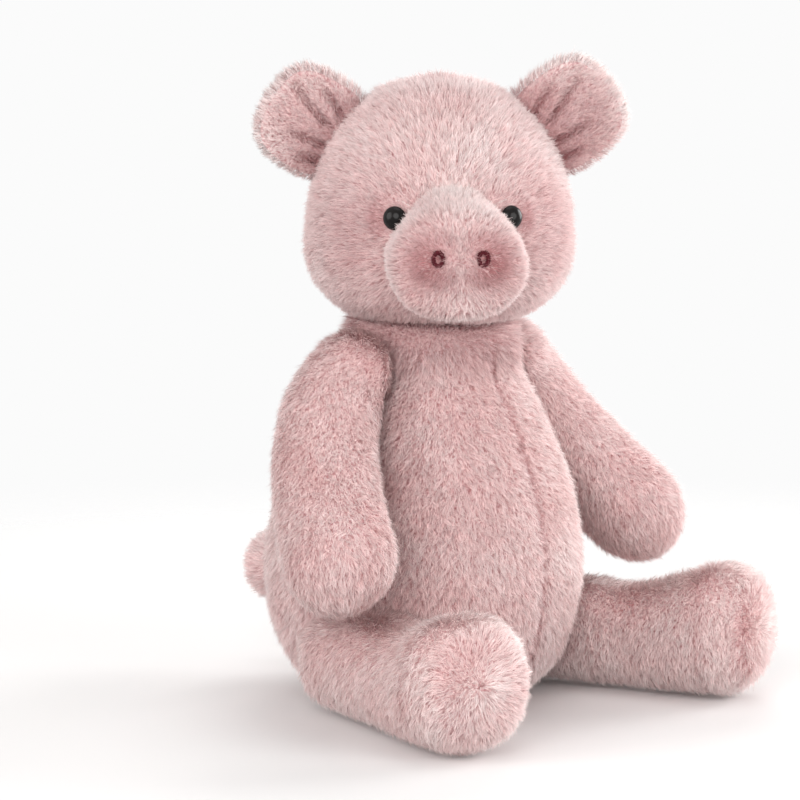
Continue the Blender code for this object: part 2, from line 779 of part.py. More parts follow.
def main():
    clear_scene()
    body_pivot = empty("body_frame", Matrix.Identity(4))
    for piece in make_body():
        attach(piece, body_pivot)
    neck_pivot = empty("neck_pivot", Matrix.Translation(NECK), body_pivot)
    attach(make_neck_thread(), neck_pivot)
    for piece in [make_head(), *make_snout(), *make_eyes()]:
        attach(piece, neck_pivot)
    for side in (LEFT, RIGHT):
        name = SIDE_NAMES[side]
        ear_pivot = empty("ear_pivot_" + name, ear_place(side), neck_pivot)
        attach(make_ear(side), ear_pivot)
        arm_pivot = empty("shoulder_pivot_" + name, Matrix.Translation(shoulder(side)), body_pivot)
        attach(make_arm(side), arm_pivot)
        leg_pivot = empty("hip_pivot_" + name, hip_place(side), body_pivot)
        attach(make_leg(side), leg_pivot)
    attach(make_tail(), empty("tail_pivot", tail_place(), body_pivot))


main()
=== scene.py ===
"""Looks of a sitting plush pig: stuffed skins under a short soft pile, eyes, stitched nostrils.

Metres, +Z up. The pig faces -Y and its left side is +X.
"""
from math import cos, exp, pi, radians, sin

import bmesh
import bpy
import numpy as np
from mathutils import Matrix, Vector, kdtree
from mathutils.bvhtree import BVHTree

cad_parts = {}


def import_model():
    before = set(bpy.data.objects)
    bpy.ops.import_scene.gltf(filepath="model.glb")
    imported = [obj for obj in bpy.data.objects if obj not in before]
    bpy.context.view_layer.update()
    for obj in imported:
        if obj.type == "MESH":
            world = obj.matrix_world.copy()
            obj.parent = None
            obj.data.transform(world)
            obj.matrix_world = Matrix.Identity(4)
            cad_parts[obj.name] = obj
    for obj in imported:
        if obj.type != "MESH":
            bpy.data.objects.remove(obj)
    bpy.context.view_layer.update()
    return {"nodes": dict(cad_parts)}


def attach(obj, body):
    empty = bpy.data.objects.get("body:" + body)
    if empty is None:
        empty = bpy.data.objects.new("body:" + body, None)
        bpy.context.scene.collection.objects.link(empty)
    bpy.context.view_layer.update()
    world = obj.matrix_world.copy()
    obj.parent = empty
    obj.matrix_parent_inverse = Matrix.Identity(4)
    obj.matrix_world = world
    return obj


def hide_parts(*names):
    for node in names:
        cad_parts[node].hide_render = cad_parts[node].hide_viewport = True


# Sizes of the stuffed forms, as the solids have them
BODY_HEIGHT, BODY_WIDTH, BODY_DEPTH, BODY_BACKSET = 0.134, 0.106, 0.131, 0.001
# Height, width, depth and forward lean as shares
BODY_ROWS = (
    (0.000, 0.560, 0.56, 0.000),
    (0.045, 0.760, 0.75, 0.000),
    (0.130, 0.900, 0.89, 0.005),
    (0.250, 0.980, 0.97, 0.010),
    (0.380, 1.000, 1.00, 0.015),
    (0.520, 0.970, 0.96, 0.025),
    (0.650, 0.895, 0.87, 0.035),
    (0.770, 0.800, 0.74, 0.045),
    (0.870, 0.710, 0.62, 0.050),
    (0.950, 0.635, 0.52, 0.050),
    (1.010, 0.575, 0.47, 0.049),
    (1.060, 0.545, 0.44, 0.048),
    (1.095, 0.490, 0.39, 0.047),
    (1.118, 0.380, 0.30, 0.047),
    (1.130, 0.200, 0.16, 0.047),
    (1.134, 0.000, 0.00, 0.047),
)
HEAD_HEIGHT, HEAD_WIDTH, HEAD_DEPTH = 0.0985, 0.1045, 0.0995
HEAD_MIDDLE = (0, -0.010, 0.19175)
HEAD_TURN_DEG = -40.0
HEAD_ROWS = (
    (0.000, 0.000),
    (0.025, 0.580),
    (0.085, 0.800),
    (0.190, 0.945),
    (0.320, 1.000),
    (0.460, 0.990),
    (0.600, 0.935),
    (0.740, 0.815),
    (0.860, 0.630),
    (0.950, 0.400),
    (1.000, 0.000),
)
SNOUT_ROOT, SNOUT_REACH, SNOUT_WIDTH = 0.022, 0.0715, 0.053
SNOUT_HEIGHT, SNOUT_DROP = 0.0465, 0.0198
# Reach, width, height, rise and narrowing of the top as shares
SNOUT_ROWS = (
    (0.00, 0.90, 1.02, 0.17, 0.46),
    (0.30, 0.96, 1.07, 0.14, 0.42),
    (0.55, 1.00, 1.06, 0.08, 0.32),
    (0.76, 1.02, 1.00, 0.02, 0.18),
    (0.90, 0.94, 0.90, 0.00, 0.08),
    (0.97, 0.72, 0.69, 0.00, 0.04),
    (1.00, 0.00, 0.00, 0.00, 0.00),
)
NOSTRIL_SPREAD, NOSTRIL_WIDTH, NOSTRIL_HEIGHT, NOSTRIL_RISE = 0.0083, 0.0035, 0.0048, 0.0030
EYE_RADIUS, EYE_DOME, EYE_SPREAD, EYE_DROP, EYE_TOE_OUT_DEG = 0.0045, 0.0034, 0.0213, 0.0038, 26.0
EAR_LENGTHS, EAR_WIDTH, EAR_THICKNESS, EAR_CUP = {1: 0.0355, -1: 0.0325}, 0.043, 0.0115, 0.0055
EAR_SPREAD, EAR_RISE, EAR_BACKSET, EAR_TILTS_DEG = 0.03846, 0.0230, 0.002, {1: 38.0, -1: 31.0}
# Distance from the root, width and thickness as shares
EAR_ROWS = (
    (-0.14, 0.00, 0.00),
    (-0.10, 0.55, 0.50),
    (0.00, 0.88, 0.76),
    (0.10, 0.96, 0.82),
    (0.28, 1.00, 0.94),
    (0.48, 1.00, 1.00),
    (0.66, 0.96, 1.00),
    (0.82, 0.86, 1.00),
    (0.92, 0.68, 0.96),
    (0.965, 0.48, 0.76),
    (0.990, 0.27, 0.45),
    (1.00, 0.00, 0.00),
)
SHOULDER, SHOULDER_SLOPE_DEG = (0.03469, -0.0055, 0.1245), 20.35
ARM_POINTS = ((0.04332, -0.0055, 0.12770), (0.0613, -0.0100, 0.1020), (0.0815, -0.0375, 0.0665))
HAND_RADIUS, ARM_ROOT_RADIUS, ARM_FLATNESS = 0.0230, 0.0185, 0.90
ARM_ROWS = ((0.00, 0.82), (0.16, 0.88), (0.34, 0.93), (0.54, 0.95), (0.76, 0.98), (1.00, 1.00))
HIP, LEG_SPLAY_DEG = (0.0475, -0.0080, 0.0195), 17.3
LEG_LENGTH, FOOT_WIDTH, FOOT_HEIGHT = 0.1060, 0.050, 0.0535
# Distance along the leg, width, bottom and top as shares
LEG_ROWS = (
    (-0.189, 0.000, 0.365, 0.365),
    (-0.174, 0.320, 0.215, 0.515),
    (-0.128, 0.590, 0.092, 0.640),
    (-0.060, 0.760, 0.015, 0.730),
    (0.000, 0.800, 0.000, 0.748),
    (0.160, 0.830, 0.000, 0.800),
    (0.300, 0.830, 0.000, 0.815),
    (0.420, 0.830, 0.000, 0.785),
    (0.540, 0.850, 0.000, 0.820),
    (0.680, 0.930, 0.000, 0.900),
    (0.820, 1.000, 0.000, 1.000),
    (0.925, 0.900, 0.065, 0.945),
    (0.985, 0.600, 0.240, 0.755),
    (1.000, 0.000, 0.480, 0.480),
)
# Creases of the ear's inner face: where each starts and ends, and its half width
EAR_CREASES = (
    ((-0.0020, 0.0060), (-0.0085, 0.0240), 0.0009),
    ((-0.0080, 0.0030), (-0.0125, 0.0130), 0.0009),
    ((0.0050, 0.0030), (0.0070, 0.0170), 0.0010),
    ((0.0110, 0.0020), (0.0130, 0.0090), 0.0012),
)
TAIL_PLACE, TAIL_LENGTH, TAIL_RADIUS = (0, 0.0612, 0.0405), 0.0285, 0.0158
TAIL_ROWS = (
    (-0.20, 0.00),
    (-0.15, 0.45),
    (0.00, 0.72),
    (0.18, 0.84),
    (0.34, 0.95),
    (0.52, 1.01),
    (0.70, 0.97),
    (0.85, 0.77),
    (0.95, 0.48),
    (1.00, 0.00),
)

# Pile
SKIN_INSET = 0.0040
EAR_INSET = 0.0026
EYE_INSET = 0.0019
NOSTRIL_INSET = 0.0013
NECK_INSET = 0.0010
PILE_LENGTH = 0.0054
PILE_LEAN_DEG = 40.0
PILE_DENSITY = 4.6e6
STRAND_WIDTH = 0.00022
STRANDS_A_TUFT = 5
# How far a root may lie inside another form, how low a strand may hang, and how far the painted shade of a
# crevice reaches
ROOT_DEPTH, STRAND_FLOOR, CREVICE = 0.0035, 0.0004, 0.005
FILLING_LUMPS = 0.0005
SOFT_POWER = 2.3
ROUND_POWER = 2.0

# Colours, linear
PILE_ROOT = (0.43, 0.205, 0.212)
PILE_MIDDLE = (0.655, 0.455, 0.450)
PILE_TIP = (0.785, 0.695, 0.682)
# Painted shade: the pile's colour at root and tip where crevices, creases, hollows and undersides are
# darkened
PILE_SHADE = (0.22, 0.075, 0.080)
PILE_PAINTED_SHADE_TIP = (0.40, 0.140, 0.147)
# Painted light: the paler pile colour for rims, tops and sides that are lightened
PILE_PAINTED_LIGHT = (0.86, 0.800, 0.780)
THREAD_ROSE = (0.058, 0.009, 0.013)
# How much darker and paler than the colour a tuft can be
TONE_RANGE = (0.67, 1.18)

# Soft lights all round: place, width and power
STUDIO_LIGHTS = (
    ("front_left", (-1.55, -0.95, 0.75), 1.3, 22),
    ("front_right", (0.10, -1.85, 0.40), 1.4, 24),
    ("right", (1.70, -0.60, 0.50), 1.3, 32),
    ("back_right", (1.20, 0.95, 1.00), 1.2, 14),
    ("back_left", (-1.65, 0.60, 0.60), 1.3, 19),
    ("top", (-0.05, -0.15, 1.95), 1.4, 6),
)
LIGHT_TINT = (1.0, 0.985, 0.975)
WORLD_STRENGTH, WHITE = 0.33, 0.965
FLOOR_RADIUS, FLOOR_DROP, FLOOR_FADE, FLOOR_SIDES = 0.8, 0.0006, (0.20, 0.60), 96

# The camera as it was fitted to the photo; the picture's middle is in pixels
CAMERA_AZIMUTH_DEG, CAMERA_ELEVATION_DEG, CAMERA_DISTANCE = -46, 7, 1.447
LOOK_AT, METRES_A_PIXEL = (0, 0, 0.12), 0.000385
PICTURE_SIZE, PICTURE_MIDDLE, SENSOR_WIDTH = 800, (420.7, 383.4), 36

LEFT, RIGHT = 1, -1
SIDE_NAMES = {LEFT: "left", RIGHT: "right"}
RANDOM = np.random.default_rng(11)

HEAD_PLACE = Matrix.Translation(HEAD_MIDDLE) @ Matrix.Rotation(radians(HEAD_TURN_DEG), 4, "Z")


# Smooth forms

def smooth_rows(rows, scales, count):
    """Rows of a share table, resampled evenly along their profile with a monotone cubic."""
    table = np.array(rows, float)
    steps = np.sqrt((np.diff(table * np.array(scales), axis=0) ** 2).sum(1))
    place = np.concatenate(([0], np.cumsum(steps)))
    wanted = np.linspace(0, place[-1], count)
    return np.stack([monotone(place, table[:, k], wanted) for k in range(table.shape[1])], 1)


def monotone(x, y, wanted):
    """A cubic through points that never overshoots them."""
    h, slope = np.diff(x), np.diff(y) / np.diff(x)
    ends = np.zeros(len(x))
    same = slope[:-1] * slope[1:] > 0
    w1, w2 = 2 * h[1:] + h[:-1], h[1:] + 2 * h[:-1]
    with np.errstate(divide="ignore", invalid="ignore"):
        middle = (w1 + w2) / (w1 / slope[:-1] + w2 / slope[1:])
    ends[1:-1] = np.where(same, middle, 0)
    ends[0], ends[-1] = slope[0], slope[-1]
    k = np.clip(np.searchsorted(x, wanted) - 1, 0, len(h) - 1)
    t = (wanted - x[k]) / h[k]
    a, b = (1 + 2 * t) * (1 - t) ** 2, t * (1 - t) ** 2
    c, d = t * t * (3 - 2 * t), t * t * (t - 1)
    return a * y[k] + b * h[k] * ends[k] + c * y[k + 1] + d * h[k] * ends[k + 1]


def superellipse(around, power):
    angle = 2 * pi * np.arange(around) / around
    c, s = np.cos(angle), np.sin(angle)
    return np.sign(c) * abs(c) ** (2 / power), np.sign(s) * abs(s) ** (2 / power)


def placed(points, matrix):
    m = np.array(matrix)
    return points @ m[:3, :3].T + m[:3, 3]


def turned(vectors, matrix):
    return vectors @ np.array(matrix)[:3, :3].T


def unit(vectors):
    length = np.sqrt((vectors ** 2).sum(-1, keepdims=True))
    return vectors / np.maximum(length, 1e-12)


def normals_of(grid):
    """Outward normals of a grid of rings; both its ends close on a point."""
    across = np.roll(grid, -1, 1) - np.roll(grid, 1, 1)
    along = np.empty_like(grid)
    along[1:-1] = grid[2:] - grid[:-2]
    along[0], along[-1] = grid[1] - grid[0], grid[-1] - grid[-2]
    normal = unit(np.cross(across, along))
    for end, ahead in ((0, grid[0].mean(0) - grid[3].mean(0)), (-1, grid[-1].mean(0) - grid[-4].mean(0))):
        normal[end] = unit(ahead)
    return normal


def unevenness(grid):
    """Soft lumps of loose filling, as depths below the even form."""
    x, y, z = np.moveaxis(grid, -1, 0)
    coarse = np.sin(x / 0.0095 + 2 * np.sin(z / 0.017)) * np.sin(z / 0.0110 + y / 0.013)
    fine = np.sin(y / 0.0052 + x / 0.0070) * np.sin(z / 0.0061 - x / 0.0085)
    return FILLING_LUMPS * (0.5 + 0.5 * coarse) + FILLING_LUMPS * 0.3 * (1 + fine)


class Form:
    """A closed grid of rings, with its outward normals, sunk by the pile's depth."""

    def __init__(self, grid, inset=SKIN_INSET, firm=None):
        if ((grid - grid.mean(1, keepdims=True)) * normals_of(grid))[1:-1].sum() < 0:
            grid = grid[:, ::-1]
        self.normals = normals_of(grid)
        sunk = inset + unevenness(grid)
        if firm:
            share, firm_inset = firm(grid)
            sunk += (firm_inset - sunk) * share
        self.grid = grid - self.normals * sunk[..., None]
        self.normals = normals_of(self.grid)

    def tree(self):
        return BVHTree.FromPolygons(self.grid.reshape(-1, 3).tolist(), quads_of(self.grid).tolist())


def quads_of(grid):
    """The faces between a grid's rings, as numbers of its points."""
    count, around = grid.shape[:2]
    i, j = np.meshgrid(np.arange(count - 1), np.arange(around), indexing="ij")
    k = (j + 1) % around
    quads = np.stack([i * around + j, i * around + k, (i + 1) * around + k, (i + 1) * around + j], -1)
    return quads.reshape(-1, 4)


def body_form():
    rows = smooth_rows(BODY_ROWS, (BODY_HEIGHT, BODY_WIDTH / 2, BODY_DEPTH / 2, 0), 90)
    cx, cy = superellipse(120, SOFT_POWER)
    rings = [bottom_ring(rows[0], cx, cy, share) for share in (0.0, 0.3, 0.6, 0.85)]
    for up, wide, painted_shade, lean in rows:
        x, y = cx * BODY_WIDTH / 2 * wide, cy * BODY_DEPTH / 2 * painted_shade
        rings.append(np.stack([x, y + BODY_BACKSET - BODY_DEPTH * lean, x * 0 + BODY_HEIGHT * up], -1))
    return Form(np.array(rings), firm=drawn_neck)


def drawn_neck(grid):
    """The cover is drawn up tight under its thread."""
    return np.clip((grid[..., 2] - 0.128) / 0.010, 0, 1), NECK_INSET


def bottom_ring(row, cx, cy, share):
    up, wide, painted_shade = row[:3]
    x, y = cx * BODY_WIDTH / 2 * wide * share, cy * BODY_DEPTH / 2 * painted_shade * share
    return np.stack([x, y + BODY_BACKSET, x * 0 + BODY_HEIGHT * up], -1)


def head_form():
    rows = smooth_rows(HEAD_ROWS, (HEAD_HEIGHT, HEAD_WIDTH / 2), 90)
    cx, cy = superellipse(120, ROUND_POWER)
    rings = [np.stack([cx * HEAD_WIDTH / 2 * wide, cy * HEAD_DEPTH / 2 * wide,
                       cx * 0 + HEAD_HEIGHT * (up - 0.5)], -1) for up, wide in rows]
    return Form(placed(np.array(rings), HEAD_PLACE), firm=round_eyes)


def near_both(grid, place_of, reach, fade):
    """1 at a place on each side, falling to 0 at a reach from it."""
    share = np.zeros(grid.shape[:2])
    for side in (LEFT, RIGHT):
        away = np.sqrt(((grid - np.array(place_of(side).translation)) ** 2).sum(-1))
        share = np.maximum(share, np.clip((reach - away) / fade, 0, 1))
    return share


def round_eyes(grid):
    """The cover lies tight over the washers of the eyes."""
    return near_both(grid, eye_place, 0.0135, 0.005), EYE_INSET


def snout_form():
    scales = (SNOUT_REACH - SNOUT_ROOT, SNOUT_WIDTH / 2, SNOUT_HEIGHT / 2, 0, 0)
    rows = smooth_rows(SNOUT_ROWS, scales, 60)
    cx, cy = superellipse(90, SOFT_POWER)
    rings = []
    for reach, wide, high, rise, narrow in rows:
        x = cx * SNOUT_WIDTH / 2 * wide * (1 - narrow * np.maximum(0, cy))
        z = cy * SNOUT_HEIGHT / 2 * high + SNOUT_HEIGHT * rise - SNOUT_DROP
        y = x * 0 - (SNOUT_ROOT + (SNOUT_REACH - SNOUT_ROOT) * reach)
        rings.append(np.stack([x, y, z], -1))
    first = rings[0]
    caps = [first.mean(0) + (first - first.mean(0)) * share for share in (0.0, 0.5)]
    grid = np.array(caps + rings)
    for side in (LEFT, RIGHT):
        dent(grid, np.array([side * NOSTRIL_SPREAD, -SNOUT_REACH, NOSTRIL_RISE - SNOUT_DROP]), 0.0032, 0.0003)
    return Form(placed(grid, HEAD_PLACE), SKIN_INSET * 0.8, firm=stitched_nostrils)


def stitched_nostrils(grid):
    """The cover lies high under the stitches, so that the pile reaches over them."""
    return near_both(grid, nostril_place, 0.0105, 0.006), NOSTRIL_INSET


def dent(grid, middle, reach, depth):
    """Press a soft hollow towards +Y around a point."""
    away = ((grid - middle) ** 2).sum(-1)
    grid[..., 1] += depth * np.exp(-away / (2 * reach ** 2))


def ear_place(side):
    tilt = Matrix.Rotation(radians(side * (90 - EAR_TILTS_DEG[side])), 4, "Y")
    return HEAD_PLACE @ Matrix.Translation((side * EAR_SPREAD, EAR_BACKSET, EAR_RISE)) @ tilt


def stadium(half_width, half_thickness, count):
    """Evenly spaced points round a flat shape with round ends."""
    edge = min(half_thickness, half_width)
    turn = np.linspace(0, 2 * pi, 721)
    x = np.clip(np.cos(turn) * 4, -1, 1) * (half_width - edge) + np.cos(turn) * edge
    y = np.sin(turn) * half_thickness
    gone = np.concatenate([[0], np.cumsum(np.hypot(np.diff(x), np.diff(y)))])
    wanted = np.arange(count) / count * gone[-1]
    return np.interp(wanted, gone, x), np.interp(wanted, gone, y)


def ear_form(side):
    sunk = EAR_INSET
    length = EAR_LENGTHS[side] - sunk
    half_width, half_thickness = EAR_WIDTH / 2 - sunk, EAR_THICKNESS / 2 - sunk
    rows = smooth_rows(EAR_ROWS, (length, half_width, half_thickness), 70)
    rings = []
    for along, wide, thick in rows:
        x, y = stadium(half_width * wide, half_thickness * thick, 150)
        face = y / half_thickness
        y = y - EAR_CUP * max(0, along) * (x / half_width) ** 2
        z = x * 0 + length * along
        y = y + ear_folds(side * x, z, face)
        rings.append(np.stack([x, y, z], -1))
    return Form(placed(np.array(rings), ear_place(side)), 0)


def ear_creases(x, z):
    """1 on the creases that fan out of the ear's gathered root, 0 away from them."""
    depth = x * 0
    for (x0, z0), (x1, z1), reach in EAR_CREASES:
        length_squared = (x1 - x0) ** 2 + (z1 - z0) ** 2
        part = np.clip(((x - x0) * (x1 - x0) + (z - z0) * (z1 - z0)) / length_squared, 0, 1)
        away = (x - x0 - part * (x1 - x0)) ** 2 + (z - z0 - part * (z1 - z0)) ** 2
        depth = np.maximum(depth, np.exp(-away / (2 * reach ** 2)) * (1 - 0.45 * part))
    return depth


def ear_folds(x, z, face):
    """A shallow bowl and its creases on the ear's inner face."""
    inner = np.clip(-face * 1.5, 0, 1)
    bowl = 0.0010 * np.exp(-(x / 0.011) ** 2 - ((z - 0.013) / 0.012) ** 2)
    return inner * (bowl + 0.0022 * ear_creases(x, z))


def curve_point(points, part):
    start, middle, end = points
    bend = middle * 2 - (start + end) / 2
    return start * (1 - part) ** 2 + bend * (2 * part * (1 - part)) + end * part ** 2


def arm_form(side):
    """A tube that swells to the hand, pressed flat where it lies along the body."""
    points = [Vector((side * p[0], p[1], p[2])) for p in ARM_POINTS]
    rows = smooth_rows(ARM_ROWS, (0.08, HAND_RADIUS), 48)
    cx, cy = superellipse(84, ROUND_POWER)
    rings = []
    for along, wide in rows:
        middle = curve_point(points, along)
        ahead = (curve_point(points, along + 0.02) - curve_point(points, along - 0.02)).normalized()
        across = ahead.cross(Vector((0, 1, 0))).normalized()
        front = across.cross(ahead)
        ring = (np.array(middle) + np.outer(cx * HAND_RADIUS * wide * ARM_FLATNESS, across)
                + np.outer(cy * HAND_RADIUS * wide, front))
        rings.append(ring)
    up = np.array((points[0] - curve_point(points, 0.02)).normalized())
    down = np.array((points[2] - curve_point(points, 0.98)).normalized())
    top = domed(rings[0], up, ARM_ROOT_RADIUS, 14)[::-1]
    low = domed(rings[-1], down, HAND_RADIUS, 18)
    grid = np.array(top + rings + low)
    press_flat(grid, side)
    return Form(grid)


def domed(ring, ahead, radius, steps):
    middle = ring.mean(0)
    angles = pi / 2 * np.arange(1, steps + 1) / steps
    return [middle + (ring - middle) * cos(a) + ahead * (radius * sin(a)) for a in angles]


def press_flat(grid, side):
    slope = radians(SHOULDER_SLOPE_DEG)
    out = np.array((side * cos(slope), 0, sin(slope)))
    away = (grid - np.array((side * SHOULDER[0], SHOULDER[1], SHOULDER[2]))) @ out
    grid += np.maximum(0, 0.0003 - away)[..., None] * out


def leg_place(side):
    hip = Matrix.Translation((side * HIP[0], HIP[1], 0))
    return hip @ Matrix.Rotation(radians(side * LEG_SPLAY_DEG), 4, "Z")


def leg_form(side):
    rows = smooth_rows(LEG_ROWS, (LEG_LENGTH, FOOT_WIDTH / 2, 0, FOOT_HEIGHT / 2), 96)
    cx, cy = superellipse(96, SOFT_POWER)
    rings = []
    for along, wide, low, high in rows:
        x = cx * FOOT_WIDTH / 2 * wide
        z = FOOT_HEIGHT * ((high + low) / 2 + cy * (high - low) / 2)
        rings.append(np.stack([x, x * 0 - LEG_LENGTH * along, z], -1))
    return Form(placed(np.array(rings), leg_place(side)))


def tail_form():
    rows = smooth_rows(TAIL_ROWS, (TAIL_LENGTH, TAIL_RADIUS), 40)
    cx, cy = superellipse(60, ROUND_POWER)
    rings = [np.stack([cx * TAIL_RADIUS * wide, cx * 0 + TAIL_LENGTH * (along + 0.09),
                       cy * TAIL_RADIUS * wide], -1) for along, wide in rows]
    return Form(placed(np.array(rings), Matrix.Translation(TAIL_PLACE)))


# Meshes

def make_mesh(name, points, faces):
    """A mesh object from arrays, in world places."""
    mesh = bpy.data.meshes.new(name)
    mesh.from_pydata(points.tolist(), [], [list(f) for f in faces])
    mesh.update()
    made = bpy.data.objects.new(name, mesh)
    bpy.context.scene.collection.objects.link(made)
    return made


def make_skin(name, grid, material):
    made = make_mesh(name, grid.reshape(-1, 3), quads_of(grid))
    made.data.materials.append(material)
    weld(made)
    made.data.shade_smooth()
    return made


def weld(item):
    """Close the grid's two ends, whose rings meet in a point."""
    bm = bmesh.new()
    bm.from_mesh(item.data)
    bmesh.ops.remove_doubles(bm, verts=bm.verts, dist=1e-6)
    bmesh.ops.recalc_face_normals(bm, faces=bm.faces)
    bm.to_mesh(item.data)
    bm.free()


def add_attribute(mesh, name, values):
    made = mesh.attributes.new(name, "FLOAT", "POINT")
    made.data.foreach_set("value", np.ascontiguousarray(values, np.float32))


# Pile

def scatter(form, density):
    """Even random roots on a form: their places and normals."""
    grid, normals = form.grid, form.normals
    nxt, side = slice(1, None), np.roll(grid, -1, 1)
    corners = (grid[:-1], side[:-1], side[nxt], grid[nxt])
    area = np.sqrt((np.cross(corners[2] - corners[0], corners[3] - corners[1]) ** 2).sum(-1)) / 2
    total = np.cumsum(area.reshape(-1))
    count = int(total[-1] * density)
    picks = np.searchsorted(total, (np.arange(count) + RANDOM.random(count)) / count * total[-1])
    picks = np.minimum(picks, len(total) - 1)
    i, j = np.divmod(picks, grid.shape[1])
    a, b = RANDOM.random((2, count, 1))
    k = (j + 1) % grid.shape[1]

    def blended(values):
        low = values[i, j] * (1 - a) + values[i, k] * a
        high = values[i + 1, j] * (1 - a) + values[i + 1, k] * a
        return low * (1 - b) + high * b
    return blended(grid), unit(blended(normals))


def keep_outside(points, others, depth):
    """Which roots aren't deeper than this inside another form, and how near each lies to one, for the painted
    shade of crevices.
    """
    kept, close = np.ones(len(points), bool), np.zeros(len(points))
    for tree, low, high, shading in others:
        near = np.nonzero(((points > low - CREVICE) & (points < high + CREVICE)).all(1) & kept)[0]
        for index in near:
            point = Vector(points[index])
            spot, normal, _, away = tree.find_nearest(point)
            close[index] = max(close[index], shading * exp(-away / CREVICE))
            if away > depth and (point - spot).dot(normal) < 0 and is_inside(tree, point):
                kept[index] = False
    return kept, close[kept]


def is_inside(tree, point):
    """An odd number of crossings on the way up and out."""
    crossings, start = 0, point.copy()
    way = Vector((0.03, 0.05, 1)).normalized()
    while crossings < 9:
        spot = tree.ray_cast(start, way)[0]
        if spot is None:
            break
        crossings += 1
        start = spot + way * 1e-6
    return crossings % 2 == 1


def tufts(points):
    """The nearest tuft's middle for each root."""
    count = max(1, len(points) // STRANDS_A_TUFT)
    middles = RANDOM.choice(len(points), count, replace=False)
    tree = kdtree.KDTree(count)
    for number, index in enumerate(middles):
        tree.insert(points[index], number)
    tree.balance()
    owner = np.array([tree.find(p)[1] for p in points])
    return middles, owner


def strands(points, normals, comb, length, lean, clump=0.3):
    """Middle and tip of each strand, bent over along the comb and drawn into its tuft."""
    count = len(points)
    middles, owner = tufts(points)
    sway = RANDOM.normal(0, 0.35, len(middles))[owner] + RANDOM.normal(0, 0.30, count)
    side = np.cross(normals, comb)
    ahead = comb * np.cos(sway)[:, None] + side * np.sin(sway)[:, None]
    tall = length * (1 + RANDOM.normal(0, 0.10, len(middles))[owner] + RANDOM.normal(0, 0.10, count))
    lean = lean * (1 + RANDOM.normal(0, 0.22, count))
    first, second = lean * 0.6, lean * 1.5
    mid = points + (tall * 0.5)[:, None] * (normals * np.cos(first)[:, None] + ahead * np.sin(first)[:, None])
    tip = mid + (tall * 0.5)[:, None] * (normals * np.cos(second)[:, None] + ahead * np.sin(second)[:, None])
    goal_mid, goal_tip = mid[middles][owner], tip[middles][owner]
    pull = clump * (0.75 + 0.5 * RANDOM.random((count, 1)))
    mid += (goal_mid - mid) * pull * 0.35
    tip += (goal_tip - tip) * pull
    return mid, tip, RANDOM.random(len(middles))[owner]


def pile_mesh(name, points, normals, mid, tip, shades, material):
    """Slim bent blades of two faces, with soft normals and one small patch of the map each."""
    count = len(points)
    wide = STRAND_WIDTH * (0.8 + 0.4 * RANDOM.random((count, 1)))
    side = unit(np.cross(normals, tip - points))
    turn = RANDOM.normal(0, 0.5, (count, 1))
    side = unit(side * np.cos(turn) + normals * np.sin(turn))
    verts = np.stack([points, mid - side * wide / 2, mid + side * wide / 2, tip], 1).reshape(-1, 3)
    loops = (np.arange(count)[:, None] * 4 + [0, 1, 2, 2, 1, 3]).reshape(-1)
    mesh = bpy.data.meshes.new(name)
    mesh.vertices.add(count * 4)
    mesh.vertices.foreach_set("co", verts.reshape(-1).astype(np.float32))
    mesh.loops.add(count * 6)
    mesh.loops.foreach_set("vertex_index", loops.astype(np.int32))
    mesh.polygons.add(count * 2)
    mesh.polygons.foreach_set("loop_start", (np.arange(count * 2) * 3).astype(np.int32))
    mesh.update(calc_edges=True)
    add_attribute(mesh, "pile_tip", np.tile([0, 0.5, 0.5, 1], count))
    for shade, values in shades.items():
        add_attribute(mesh, "pile_" + shade, np.repeat(values, 4))
    map_strands(mesh, count)
    mesh.shade_smooth()
    soft = unit(normals + side * RANDOM.normal(0, 0.22, (count, 1)))
    mesh.normals_split_custom_set_from_vertices(np.repeat(soft, 4, axis=0).tolist())
    mesh.materials.append(material)
    made = bpy.data.objects.new(name, mesh)
    bpy.context.scene.collection.objects.link(made)
    return made


def map_strands(mesh, count):
    """Each strand lies in its own cell of the map, root low and tip high."""
    cells = int(np.ceil(np.sqrt(count)))
    row, column = np.divmod(np.arange(count), cells)
    shape = np.array([(0.5, 0.1), (0.9, 0.5), (0.1, 0.5), (0.1, 0.5), (0.9, 0.5), (0.5, 0.9)])
    spots = (np.stack([column, row], 1)[:, None, :] + shape) / cells
    layer = mesh.uv_layers.new(name="OFBake")
    layer.uv.foreach_set("vector", spots.reshape(-1).astype(np.float32))


def away_from(middle):
    """A comb that lays the pile away from a point."""
    def comb(points):
        return points - np.array(middle)
    return comb


def head_comb(nose):
    """Away from the nose, and down at the back of the head."""
    def comb(points):
        away = points - np.array(nose)
        reach = np.sqrt((away ** 2).sum(-1))
        behind = np.clip((reach - 0.055) / 0.045, 0, 1)[:, None]
        return unit(away) + np.array((0, 0, -0.9)) * behind
    return comb


def level_comb(comb, points, normals):
    """The comb's direction, laid in the surface."""
    way = unit(comb(points))
    way = way - (way * normals).sum(1, keepdims=True) * normals
    return unit(way + RANDOM.normal(0, 0.02, way.shape))


